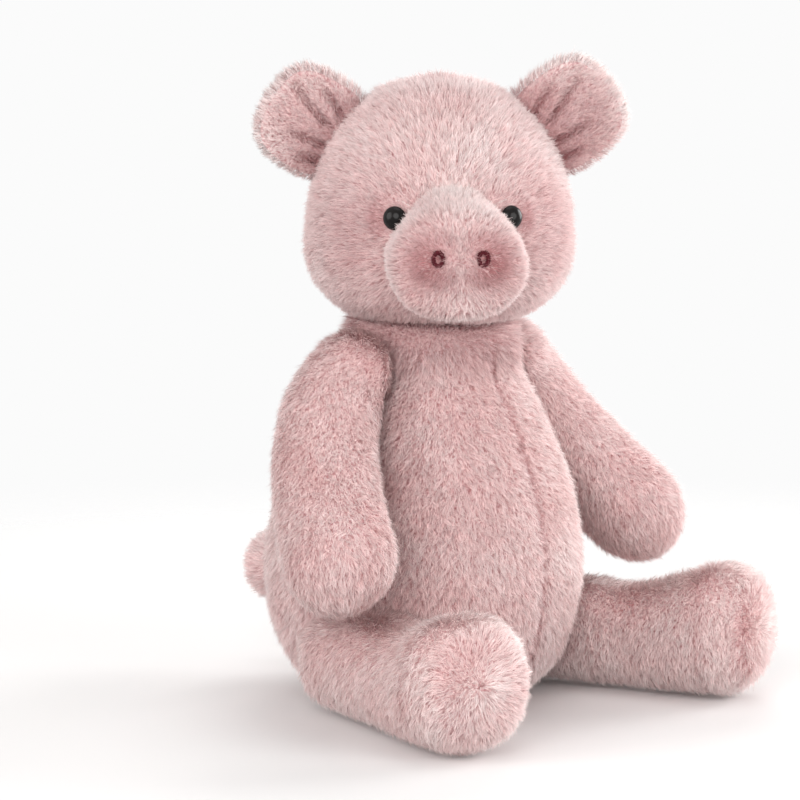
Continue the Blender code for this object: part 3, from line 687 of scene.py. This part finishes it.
def grow(name, form, comb, material, length=PILE_LENGTH, lean_deg=PILE_LEAN_DEG, density=PILE_DENSITY,
         others=(), looks=None, clump=0.3, keep=None):
    """A pile over a form. looks gives each root's length, painted shade, lean and painted light."""
    points, normals = scatter(form, density)
    if keep is not None:
        chosen = keep(points)
        points, normals = points[chosen], normals[chosen]
    kept, close = keep_outside(points, others, ROOT_DEPTH)
    points, normals = points[kept], normals[kept]
    ways = level_comb(comb, points, normals)
    share, painted_shade, lean_share, pale = looks(points, normals) if looks else plain_looks(points)
    lean = radians(lean_deg) * lean_share
    # Painted shade in crevices: the pile darkens where its root lies near another form
    painted_shade = np.clip(painted_shade + 0.55 * close ** 2, 0, 1)
    mid, tip, tuft_tone = strands(points, normals, ways, length * share, lean, clump)
    for ends in (tip, mid):
        ends[:, 2] += np.maximum(0, STRAND_FLOOR - ends[:, 2])
    tone = 0.55 * tuft_tone + 0.45 * RANDOM.random(len(points))
    return pile_mesh(name, points, normals, mid, tip, {"tone": tone, "painted_shade": painted_shade, "pale": pale}, material)


# Materials

def new_material(name):
    made = bpy.data.materials.new(name)
    made.use_nodes = True
    return made, made.node_tree.nodes, made.node_tree.links


def value_of(nodes, name):
    found = nodes.new("ShaderNodeAttribute")
    found.attribute_name = name
    return found.outputs["Fac"]


def ramp(nodes, links, source, stops):
    made = nodes.new("ShaderNodeValToRGB")
    links.new(source, made.inputs["Fac"])
    elements = made.color_ramp.elements
    for number, (place, colour) in enumerate(stops):
        element = elements[number] if number < 2 else elements.new(place)
        element.position = place
        element.color = (*colour, 1)
    return made.outputs["Color"]


def mix(nodes, links, kind, factor, first, second):
    made = nodes.new("ShaderNodeMix")
    made.data_type = "RGBA"
    made.blend_type = kind
    for socket, value in ((made.inputs["Factor"], factor), (made.inputs[6], first),
                          (made.inputs[7], second)):
        if isinstance(value, bpy.types.NodeSocket):
            links.new(value, socket)
        elif isinstance(value, tuple):
            socket.default_value = (*value, 1)
        else:
            socket.default_value = value
    return made.outputs[2]


def grey(value):
    return (value, value, value)


def noise(nodes, links, scale, detail=3):
    place = nodes.new("ShaderNodeTexCoord")
    made = nodes.new("ShaderNodeTexNoise")
    made.inputs["Scale"].default_value = scale
    made.inputs["Detail"].default_value = detail
    links.new(place.outputs["Object"], made.inputs["Vector"])
    return made.outputs["Fac"]


def let_light_through(nodes, links, colour):
    """A strand seen from its back shows the light that falls on its front."""
    seen = nodes.new("ShaderNodeNewGeometry")
    behind = nodes.new("ShaderNodeBsdfTranslucent")
    links.new(colour, behind.inputs["Color"])
    both = nodes.new("ShaderNodeMixShader")
    links.new(seen.outputs["Backfacing"], both.inputs["Fac"])
    links.new(nodes["Principled BSDF"].outputs["BSDF"], both.inputs[1])
    links.new(behind.outputs["BSDF"], both.inputs[2])
    links.new(both.outputs["Shader"], nodes["Material Output"].inputs["Surface"])


def pile_material():
    """Rosy roots that pale towards the tips, with tufts of their own tone, darkened by painted shade and
    lightened by painted light where the looks set them.
    """
    made, nodes, links = new_material("plush_pile")
    shader = nodes["Principled BSDF"]
    tip = value_of(nodes, "pile_tip")
    fibre = ramp(nodes, links, tip, ((0, PILE_ROOT), (1, PILE_TIP), (0.45, PILE_MIDDLE)))
    # Painted shade: the darker colours that the painted shade attribute mixes in
    dark = ramp(nodes, links, tip, ((0, PILE_SHADE), (1, PILE_PAINTED_SHADE_TIP)))
    # Painted light: the paler colours that pile_pale mixes in
    light = ramp(nodes, links, tip, ((0, PILE_MIDDLE), (1, PILE_PAINTED_LIGHT)))
    paler = mix(nodes, links, "MIX", value_of(nodes, "pile_pale"), fibre, light)
    # Mix in the painted shade
    coloured = mix(nodes, links, "MIX", value_of(nodes, "pile_painted_shade"), paler, dark)
    low, high = TONE_RANGE
    tone = ramp(nodes, links, value_of(nodes, "pile_tone"), ((0, grey(low)), (1, grey(high))))
    toned = mix(nodes, links, "MULTIPLY", 1.0, coloured, tone)
    patches = ramp(nodes, links, noise(nodes, links, 55),
                   ((0.3, (0.96, 0.88, 0.88)), (0.7, (1.02, 1.05, 1.05))))
    final = mix(nodes, links, "MULTIPLY", 1.0, toned, patches)
    links.new(final, shader.inputs["Base Color"])
    let_light_through(nodes, links, final)
    shader.inputs["Roughness"].default_value = 0.75
    shader.inputs["Specular IOR Level"].default_value = 0.2
    shader.inputs["Sheen Weight"].default_value = 0.45
    shader.inputs["Sheen Roughness"].default_value = 0.5
    shader.inputs["Sheen Tint"].default_value = (1.0, 0.86, 0.85, 1)
    return made


def skin_material():
    """The knitted backing that shows between the roots."""
    made, nodes, links = new_material("plush_backing")
    shader = nodes["Principled BSDF"]
    speckle = ramp(nodes, links, noise(nodes, links, 900, 2),
                   ((0.30, PILE_ROOT), (0.6, PILE_MIDDLE)))
    links.new(speckle, shader.inputs["Base Color"])
    shader.inputs["Roughness"].default_value = 0.95
    bump = nodes.new("ShaderNodeBump")
    bump.inputs["Distance"].default_value = 0.0004
    links.new(noise(nodes, links, 700, 2), bump.inputs["Height"])
    links.new(bump.outputs["Normal"], shader.inputs["Normal"])
    return made


def eye_material():
    made, nodes, links = new_material("eye_black")
    shader = nodes["Principled BSDF"]
    shade = ramp(nodes, links, noise(nodes, links, 300),
                 ((0.3, (0.004, 0.0035, 0.0035)), (0.7, (0.010, 0.008, 0.008))))
    links.new(shade, shader.inputs["Base Color"])
    shader.inputs["Roughness"].default_value = 0.16
    shader.inputs["Specular IOR Level"].default_value = 0.14
    return made


def thread_material():
    made, nodes, links = new_material("rose_thread")
    shader = nodes["Principled BSDF"]
    shade = ramp(nodes, links, noise(nodes, links, 1500, 2),
                 ((0.3, THREAD_ROSE), (0.7, tuple(1.7 * c for c in THREAD_ROSE))))
    links.new(shade, shader.inputs["Base Color"])
    shader.inputs["Roughness"].default_value = 0.8
    shader.inputs["Specular IOR Level"].default_value = 0.08
    return made


def cover_material(name, low, high, scale):
    made, nodes, links = new_material(name)
    shade = ramp(nodes, links, noise(nodes, links, scale), ((0.3, low), (0.7, high)))
    links.new(shade, nodes["Principled BSDF"].inputs["Base Color"])
    nodes["Principled BSDF"].inputs["Roughness"].default_value = 0.8
    return made


# Looks of each region

def near(points, middle, reach):
    """1 at a point, falling softly to 0 past a reach."""
    away = ((points - np.array(middle)) ** 2).sum(-1)
    return np.exp(-away / (2 * reach ** 2))


def head_spot(x, y, z):
    return HEAD_PLACE @ Vector((x, y, z))


def eye_place(side):
    x, up = side * EYE_SPREAD, 0.5 - EYE_DROP / HEAD_HEIGHT
    rows = np.array(HEAD_ROWS)
    wide = np.interp(up, rows[:, 0], rows[:, 1])
    front = -HEAD_DEPTH / 2 * wide * (1 - (x / (HEAD_WIDTH / 2 * wide)) ** 2) ** 0.5
    turn = Matrix.Rotation(radians(side * EYE_TOE_OUT_DEG), 4, "Z")
    return (HEAD_PLACE @ Matrix.Translation((x, front, -EYE_DROP)) @ turn
            @ Matrix.Rotation(radians(90), 4, "X"))


def nostril_place(side):
    last_reach, last_wide = SNOUT_ROWS[-2][0], SNOUT_ROWS[-2][1]
    inward = (1 - last_reach) * (SNOUT_REACH - SNOUT_ROOT) * NOSTRIL_SPREAD / (SNOUT_WIDTH / 2 * last_wide)
    middle = Matrix.Translation((side * NOSTRIL_SPREAD, -SNOUT_REACH + inward, NOSTRIL_RISE - SNOUT_DROP))
    return HEAD_PLACE @ middle @ Matrix.Rotation(radians(90), 4, "X")


def plain_looks(points):
    """Length, painted shade, lean and painted light, as shares, where nothing changes them."""
    return np.ones(len(points)), np.zeros(len(points)), np.ones(len(points)), np.zeros(len(points))


def head_looks(points, normals):
    """Shorter pile round the eyes and under the chin, with painted shade at the eyes' outer corners, on the
    cheeks and under the chin, and painted light on the brow.
    """
    long, painted_shade, lean, _ = plain_looks(points)
    for side in (LEFT, RIGHT):
        eye = eye_place(side).translation
        corner = eye_place(side) @ Vector((side * 0.007, -0.001, 0))
        long *= 1 - 0.50 * near(points, eye, 0.0075)
        # Painted shade at the eye's outer corner and on the cheek below it
        painted_shade = np.maximum(painted_shade, 0.75 * near(points, corner, 0.0050))
        painted_shade = np.maximum(painted_shade, 0.42 * near(points, head_spot(side * 0.040, -0.032, -0.010), 0.016))
    # Painted shade where the pile faces down under the chin, and painted light on the brow
    chin = np.clip(-normals[:, 2] * 2 - 0.5, 0, 1)
    brow = near(points, head_spot(0, -0.044, 0.022), 0.016)
    return long * (1 - 0.30 * chin), np.maximum(painted_shade, 0.22 * chin), lean, 0.45 * brow


def snout_looks(points, normals):
    """A short pile, shorter round the nostrils and darkened there by painted shade, with painted light on the
    bridge, the chin and the nose's middle.
    """
    long, painted_shade, lean, _ = plain_looks(points)
    long *= 0.74 - 0.18 * np.clip(-normals[:, 2] * 2, 0, 1)
    for side in (LEFT, RIGHT):
        spot = nostril_place(side).translation
        beside = nostril_place(side) @ Vector((side * 0.0022, -0.0020, 0))
        long *= 1 - 0.30 * near(points, spot, 0.0040)
        # Painted shade round each nostril and beside it
        painted_shade = np.maximum(painted_shade, np.maximum(near(points, spot, 0.0044), 0.95 * near(points, beside, 0.0072)))
    # Painted light on the bridge, the chin and the nose's middle, where the painted shade is taken out
    bridge = near(points, head_spot(0, -0.052, 0.010), 0.013)
    chin = near(points, head_spot(0, -SNOUT_REACH + 0.004, -SNOUT_DROP - 0.017), 0.010)
    middle = near(points, head_spot(0, -SNOUT_REACH - 0.001, -SNOUT_DROP + 0.002), 0.0032)
    return long, painted_shade * (1 - middle), lean, np.clip(bridge + 0.4 * chin + 0.5 * middle, 0, 1)


def body_looks(points, normals):
    """The seam parts the pile down the belly, and it stands longer round the drawn-up neck; painted shade
    darkens the seam's parting and the neck, and painted light lightens the lower left side.
    """
    long = np.ones(len(points))
    front = (points[:, 1] < -0.02).astype(float)
    seam = np.exp(-(points[:, 0] / 0.0013) ** 2) * front
    neck = np.clip((points[:, 2] - 0.123) / 0.010, 0, 1)
    upright = np.clip((points[:, 2] - 0.130) / 0.010, 0, 1)
    lower = np.clip((points[:, 0] - 0.004) / 0.02, 0, 1) * np.clip((0.10 - points[:, 2]) / 0.04, 0, 1)
    # Painted shade in the seam's parting and round the neck; painted light low on the left side
    painted_shade = 0.50 * seam + 0.32 * neck
    return long * (1 - 0.5 * seam) * (1 + 0.25 * neck), painted_shade, 1 - 0.45 * upright, 0.30 * lower


def ear_looks(side):
    inverse = ear_place(side).inverted()

    def looks(points, normals):
        local, facing = placed(points, inverse), turned(normals, inverse)
        inner = np.clip(-facing[:, 1] * 1.6, 0, 1)
        rim = np.clip(np.hypot(local[:, 0] / (EAR_WIDTH / 2), local[:, 2] / EAR_LENGTHS[side]), 0, 1) ** 5
        crease = ear_creases(side * local[:, 0], local[:, 2])
        root = np.clip(1 - local[:, 2] / 0.016, 0, 1)
        # Painted shade over the inner face, more on the left ear, in its creases and towards its root
        shadow = 0.30 if side == LEFT else 0.12
        painted_shade = inner * (1 - rim) * np.clip(shadow + 0.95 * crease + 0.25 * root, 0, 1)
        # Painted light on the rim and on the top of the ear
        high = np.clip((points[:, 2] - 0.226) / 0.012, 0, 1)
        pale = np.clip(rim * 1.2 + 0.5 * high, 0, 1) * (1 - inner * crease)
        long = (1 - 0.35 * inner * crease - 0.12 * rim) * (1 + 0.22 * normals[:, 2])
        return long, painted_shade, 1 - 0.2 * rim, 0.8 * pale
    return looks


def leg_looks(side):
    inverse = leg_place(side).inverted()

    def looks(points, normals):
        local = placed(points, inverse)
        along_leg = -local[:, 1] / LEG_LENGTH
        seam = np.exp(-((along_leg - 0.80) / 0.012) ** 2)
        sole = np.clip((along_leg - 0.80) / 0.12, 0, 1)
        # Painted light round the upper edge of the sole, over the sole's middle and on the thigh, most on the
        # left leg
        rim = np.exp(-((along_leg - 0.86) / 0.07) ** 2) * np.clip(0.5 + local[:, 2] / FOOT_HEIGHT, 0, 1)
        middle = np.exp(-((local[:, 0] ** 2 + (local[:, 2] - FOOT_HEIGHT * 0.52) ** 2) / 0.007 ** 2)) * sole
        thigh = (0.45 if side == LEFT else 0.10) * (1 - sole)
        pale = np.maximum(np.maximum(0.55 * rim, 0.95 * middle), thigh)
        # The seam's pile is shorter and darkened by painted shade
        return 1 - 0.25 * seam, 0.20 * seam, 1 - 0.2 * middle, pale
    return looks


# The pieces

def box_of(form):
    flat = form.grid.reshape(-1, 3)
    return form.tree(), flat.min(0), flat.max(0)


def body_comb(points):
    """Down the body, from the drawn-up neck on."""
    out = points - np.array((0, -0.006, 0))
    out[:, 2] = 0
    top = np.clip((points[:, 2] - 0.136) / 0.010, 0, 1)[:, None]
    return np.array((0, -0.10, -1.0)) + unit(out) * top


def leg_comb(side):
    """Down the leg's sides, and out from the middle over the sole."""
    place = leg_place(side)
    sole = np.array(place @ Vector((0, -LEG_LENGTH * 0.90, FOOT_HEIGHT * 0.52)))
    ahead = turned(np.array([0, -0.35, -1.0]), place)

    def comb(points):
        local = placed(points, place.inverted())
        past = np.clip((-local[:, 1] / LEG_LENGTH - 0.86) / 0.08, 0, 1)[:, None]
        return (points - sole) / FOOT_HEIGHT * 2.5 * past + ahead * (1 - past)
    return comb


def arm_comb(side):
    """Out from the shoulder, then down the arm to the hand's end."""
    points = [Vector((side * p[0], p[1], p[2])) for p in ARM_POINTS]
    samples = np.array([curve_point(points, t) for t in np.linspace(-0.15, 1.25, 30)])
    ways = unit(np.gradient(samples, axis=0))
    outward = np.array((side * 1.3, -0.2, -0.7))

    def comb(places):
        nearest = ((places[:, None, :] - samples) ** 2).sum(-1).argmin(1)
        root = np.clip(1 - (nearest / 29 - 0.10) / 0.22, 0, 1)[:, None]
        return (ways[nearest] + np.array((0, 0, -0.8))) * (1 - root) + outward * root
    return comb


def arm_looks(side):
    """A shorter pile, darkened by painted shade, at the edge of the face that lies on the body."""
    slope = radians(SHOULDER_SLOPE_DEG)
    out = np.array((side * cos(slope), 0, sin(slope)))
    start = np.array((side * SHOULDER[0], SHOULDER[1], SHOULDER[2]))

    def looks(points, normals):
        long, painted_shade, lean, pale = plain_looks(points)
        edge = np.clip(1 - ((points - start) @ out - 0.002) / 0.004, 0, 1)
        return long * (1 - 0.45 * edge), painted_shade + 0.20 * edge, lean, pale
    return looks


def ear_comb(side):
    """From the root to the tip, and out towards the rim."""
    place = ear_place(side)
    root = np.array(place @ Vector((0, 0, -0.012)))
    return away_from(root)


def contact_shade(name, other):
    """How much painted shade darkens the pile where two forms meet: little where the seam is hidden."""
    if {name, other} == {"head", "snout"}:
        return 0.2
    if "body" in (name, other) and "arm" in name + other:
        return 0.55
    return 1.0


def make_softs():
    skin, pile = skin_material(), pile_material()
    forms = {"body": body_form(), "head": head_form(), "snout": snout_form(), "tail": tail_form()}
    for side in (LEFT, RIGHT):
        forms["ear_" + SIDE_NAMES[side]] = ear_form(side)
        forms["arm_" + SIDE_NAMES[side]] = arm_form(side)
        forms["leg_" + SIDE_NAMES[side]] = leg_form(side)
    boxes = {name: box_of(form) for name, form in forms.items()}
    for name, form in forms.items():
        rider = "head" if name == "snout" else name
        base = make_skin(name + "_backing", form.grid, skin)
        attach(base, rider)
        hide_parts(name)
        others = [(*box, contact_shade(name, other))
                  for other, box in boxes.items() if other != name]
        for suffix, settings in piles_of(name):
            hair = grow(name + "_pile" + suffix, form, material=pile, others=others, **settings)
            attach(hair, rider)


def piles_of(name):
    """The piles that a form carries: a name's ending and how each grows."""
    nose = head_spot(0, -SNOUT_REACH - 0.004, -SNOUT_DROP + 0.002)
    side = LEFT if name.endswith("left") else RIGHT
    if name == "body":
        base = {"comb": body_comb, "looks": body_looks}
        return [("_front", {**base, "keep": lambda p: p[:, 1] < -0.005}),
                ("_back", {**base, "keep": lambda p: p[:, 1] >= -0.005})]
    if name == "head":
        return [("", {"comb": head_comb(nose), "looks": head_looks})]
    if name == "snout":
        middle = head_spot(0, -SNOUT_REACH - 0.001, -SNOUT_DROP + 0.002)
        return [("", {"comb": away_from(middle), "looks": snout_looks, "density": PILE_DENSITY * 1.2})]
    if name == "tail":
        return [("", {"comb": away_from((0, TAIL_PLACE[1] - 0.004, TAIL_PLACE[2]))})]
    if name.startswith("ear"):
        return [("", {"comb": ear_comb(side), "looks": ear_looks(side), "length": 0.0046,
                      "density": PILE_DENSITY * 1.2})]
    if name.startswith("arm"):
        return [("", {"comb": arm_comb(side), "looks": arm_looks(side), "lean_deg": 46})]
    return [("", {"comb": leg_comb(side), "looks": leg_looks(side)})]


def lathe(name, profile, place, material, around=64):
    """A turned piece from (radius, height) points that start and end on its axis."""
    cx, cy = superellipse(around, ROUND_POWER)
    rings = np.array([np.stack([cx * r, cy * r, cx * 0 + z], -1) for r, z in profile])
    return make_skin(name, placed(rings, place), material)


def make_eyes(material):
    """Polished domes with a small turned-in edge, in place of the plain ones."""
    for side in (LEFT, RIGHT):
        profile = [(0, -0.0125), (0.0012, -0.0125), (0.0015, -0.0120), (0.0015, 0.0), (0.0030, 0.0001)]
        profile += [(EYE_RADIUS - 0.0004, 0.0002), (EYE_RADIUS, 0.0007)]
        for step in range(1, 25):
            angle = pi / 2 * step / 24
            profile.append((EYE_RADIUS * cos(angle), 0.0007 + (EYE_DOME - 0.0004) * sin(angle)))
        eye = lathe("eye_dome_" + SIDE_NAMES[side], profile, eye_place(side), material)
        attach(eye, "head")
        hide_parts("eye_" + SIDE_NAMES[side])


def make_nostrils(material):
    """Rings of satin stitches, each stitch a loop of thread across the ring."""
    for side in (LEFT, RIGHT):
        place = nostril_place(side)
        points, faces = [], []
        stitches, turns, sides = 30, 10, 6
        for s in range(stitches):
            angle = 2 * pi * s / stitches
            middle = Vector((NOSTRIL_WIDTH / 2 * cos(angle), NOSTRIL_HEIGHT / 2 * sin(angle), 0))
            out = Vector((cos(angle), sin(angle), 0))
            add_loop(points, faces, place, middle, out, turns, sides, s)
        made = make_mesh("nostril_stitches_" + SIDE_NAMES[side], np.array(points), faces)
        made.data.shade_smooth()
        made.data.materials.append(material)
        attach(made, "head")
        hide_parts("nostril_" + SIDE_NAMES[side])


def add_loop(points, faces, place, middle, out, turns, sides, number):
    """One closed stitch: a thin thread round the ring's section."""
    reach, thread = 0.0007, 0.00022
    along_ring = Vector((-out.y, out.x, 0))
    start = len(points)
    wobble = 0.00008 * sin(number * 2.4)
    for t in range(turns):
        a = 2 * pi * t / turns
        ring_out = out * cos(a) + Vector((0, 0, 1)) * sin(a)
        spine = middle + ring_out * (reach + wobble) + along_ring * (0.00012 * sin(a + number))
        for k in range(sides):
            b = 2 * pi * k / sides
            offset = ring_out * (thread * cos(b)) + along_ring * (thread * sin(b))
            points.append(tuple(place @ (spine + offset)))
    for t in range(turns):
        for k in range(sides):
            n, m = (t + 1) % turns, (k + 1) % sides
            faces.append((start + t * sides + k, start + t * sides + m,
                          start + n * sides + m, start + n * sides + k))


# Stage

def make_floor():
    """A pale floor that fades into the white of the background."""
    made, nodes, links = new_material("pale_floor")
    shader = nodes["Principled BSDF"]
    shade = ramp(nodes, links, noise(nodes, links, 3), ((0.3, grey(0.765)), (0.7, grey(0.785))))
    links.new(shade, shader.inputs["Base Color"])
    shader.inputs["Roughness"].default_value = 0.9
    place = nodes.new("ShaderNodeTexCoord")
    length = nodes.new("ShaderNodeVectorMath")
    length.operation = "LENGTH"
    links.new(place.outputs["Object"], length.inputs[0])
    fade = nodes.new("ShaderNodeMapRange")
    fade.inputs["From Min"].default_value, fade.inputs["From Max"].default_value = FLOOR_FADE
    fade.interpolation_type = "SMOOTHSTEP"
    links.new(length.outputs["Value"], fade.inputs["Value"])
    clear = nodes.new("ShaderNodeBsdfTransparent")
    both = nodes.new("ShaderNodeMixShader")
    links.new(fade.outputs["Result"], both.inputs["Fac"])
    links.new(shader.outputs["BSDF"], both.inputs[1])
    links.new(clear.outputs["BSDF"], both.inputs[2])
    links.new(both.outputs["Shader"], nodes["Material Output"].inputs["Surface"])
    cx, cy = superellipse(FLOOR_SIDES, ROUND_POWER)
    ring = np.stack([cx * FLOOR_RADIUS, cy * FLOOR_RADIUS, cx * 0 - FLOOR_DROP], -1)
    floor = make_mesh("floor", ring, [list(range(FLOOR_SIDES))])
    floor.data.materials.append(made)


def make_world():
    """White to the camera and in reflections, and soft light from all round for the rest."""
    world = bpy.data.worlds.new("studio")
    bpy.context.scene.world = world
    world.use_nodes = True
    nodes, links = world.node_tree.nodes, world.node_tree.links
    light = nodes["Background"]
    light.inputs["Color"].default_value = (*LIGHT_TINT, 1)
    light.inputs["Strength"].default_value = WORLD_STRENGTH
    seen = nodes.new("ShaderNodeBackground")
    seen.inputs["Color"].default_value = (*grey(WHITE), 1)
    path = nodes.new("ShaderNodeLightPath")
    shown = nodes.new("ShaderNodeMath")
    shown.operation = "MAXIMUM"
    links.new(path.outputs["Is Camera Ray"], shown.inputs[0])
    links.new(path.outputs["Is Glossy Ray"], shown.inputs[1])
    both = nodes.new("ShaderNodeMixShader")
    links.new(shown.outputs["Value"], both.inputs["Fac"])
    links.new(light.outputs["Background"], both.inputs[1])
    links.new(seen.outputs["Background"], both.inputs[2])
    links.new(both.outputs["Shader"], nodes["World Output"].inputs["Surface"])


def area_light(name, place, size, power):
    lamp = bpy.data.lights.new(name, "AREA")
    lamp.shape = "DISK"
    lamp.size = size
    lamp.energy = power
    lamp.color = LIGHT_TINT
    made = bpy.data.objects.new(name, lamp)
    made.location = place
    made.rotation_euler = (Vector(place) - Vector(LOOK_AT)).to_track_quat("Z", "Y").to_euler()
    bpy.context.scene.collection.objects.link(made)


def make_lights():
    for name, place, size, power in STUDIO_LIGHTS:
        area_light(name, place, size, power)


def make_camera():
    azimuth, elevation = radians(CAMERA_AZIMUTH_DEG), radians(CAMERA_ELEVATION_DEG)
    back = Vector((sin(azimuth) * cos(elevation), -cos(azimuth) * cos(elevation), sin(elevation)))
    data = bpy.data.cameras.new("camera")
    data.sensor_width = SENSOR_WIDTH
    data.lens = CAMERA_DISTANCE / METRES_A_PIXEL * SENSOR_WIDTH / PICTURE_SIZE
    data.shift_x = -(PICTURE_MIDDLE[0] - PICTURE_SIZE / 2) / PICTURE_SIZE
    data.shift_y = (PICTURE_MIDDLE[1] - PICTURE_SIZE / 2) / PICTURE_SIZE
    data.clip_start = 0.05
    camera = bpy.data.objects.new("camera", data)
    camera.location = Vector(LOOK_AT) + back * CAMERA_DISTANCE
    camera.rotation_euler = back.to_track_quat("Z", "Y").to_euler()
    bpy.context.scene.collection.objects.link(camera)
    bpy.context.scene.camera = camera


def dress_hidden(frame):
    """Materials for the pieces that stay as the solids have them."""
    bag = cover_material("pellet_cotton", (0.70, 0.67, 0.60), (0.82, 0.79, 0.73), 400)
    washer = cover_material("washer_plastic", (0.70, 0.70, 0.68), (0.78, 0.78, 0.76), 200)
    drawn = cover_material("neck_thread_rose", PILE_ROOT, PILE_MIDDLE, 900)
    looks = {"pellet_bag": bag, "neck_thread": drawn,
             "eye_washer_left": washer, "eye_washer_right": washer}
    for name, material in looks.items():
        for slot in frame["nodes"][name].material_slots:
            slot.link = "OBJECT"
            slot.material = material


def main():
    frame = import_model()
    thread = thread_material()
    make_softs()
    make_eyes(eye_material())
    make_nostrils(thread)
    dress_hidden(frame)
    make_floor()
    make_world()
    make_lights()
    make_camera()
    bpy.context.scene.view_settings.view_transform = "Standard"


main()
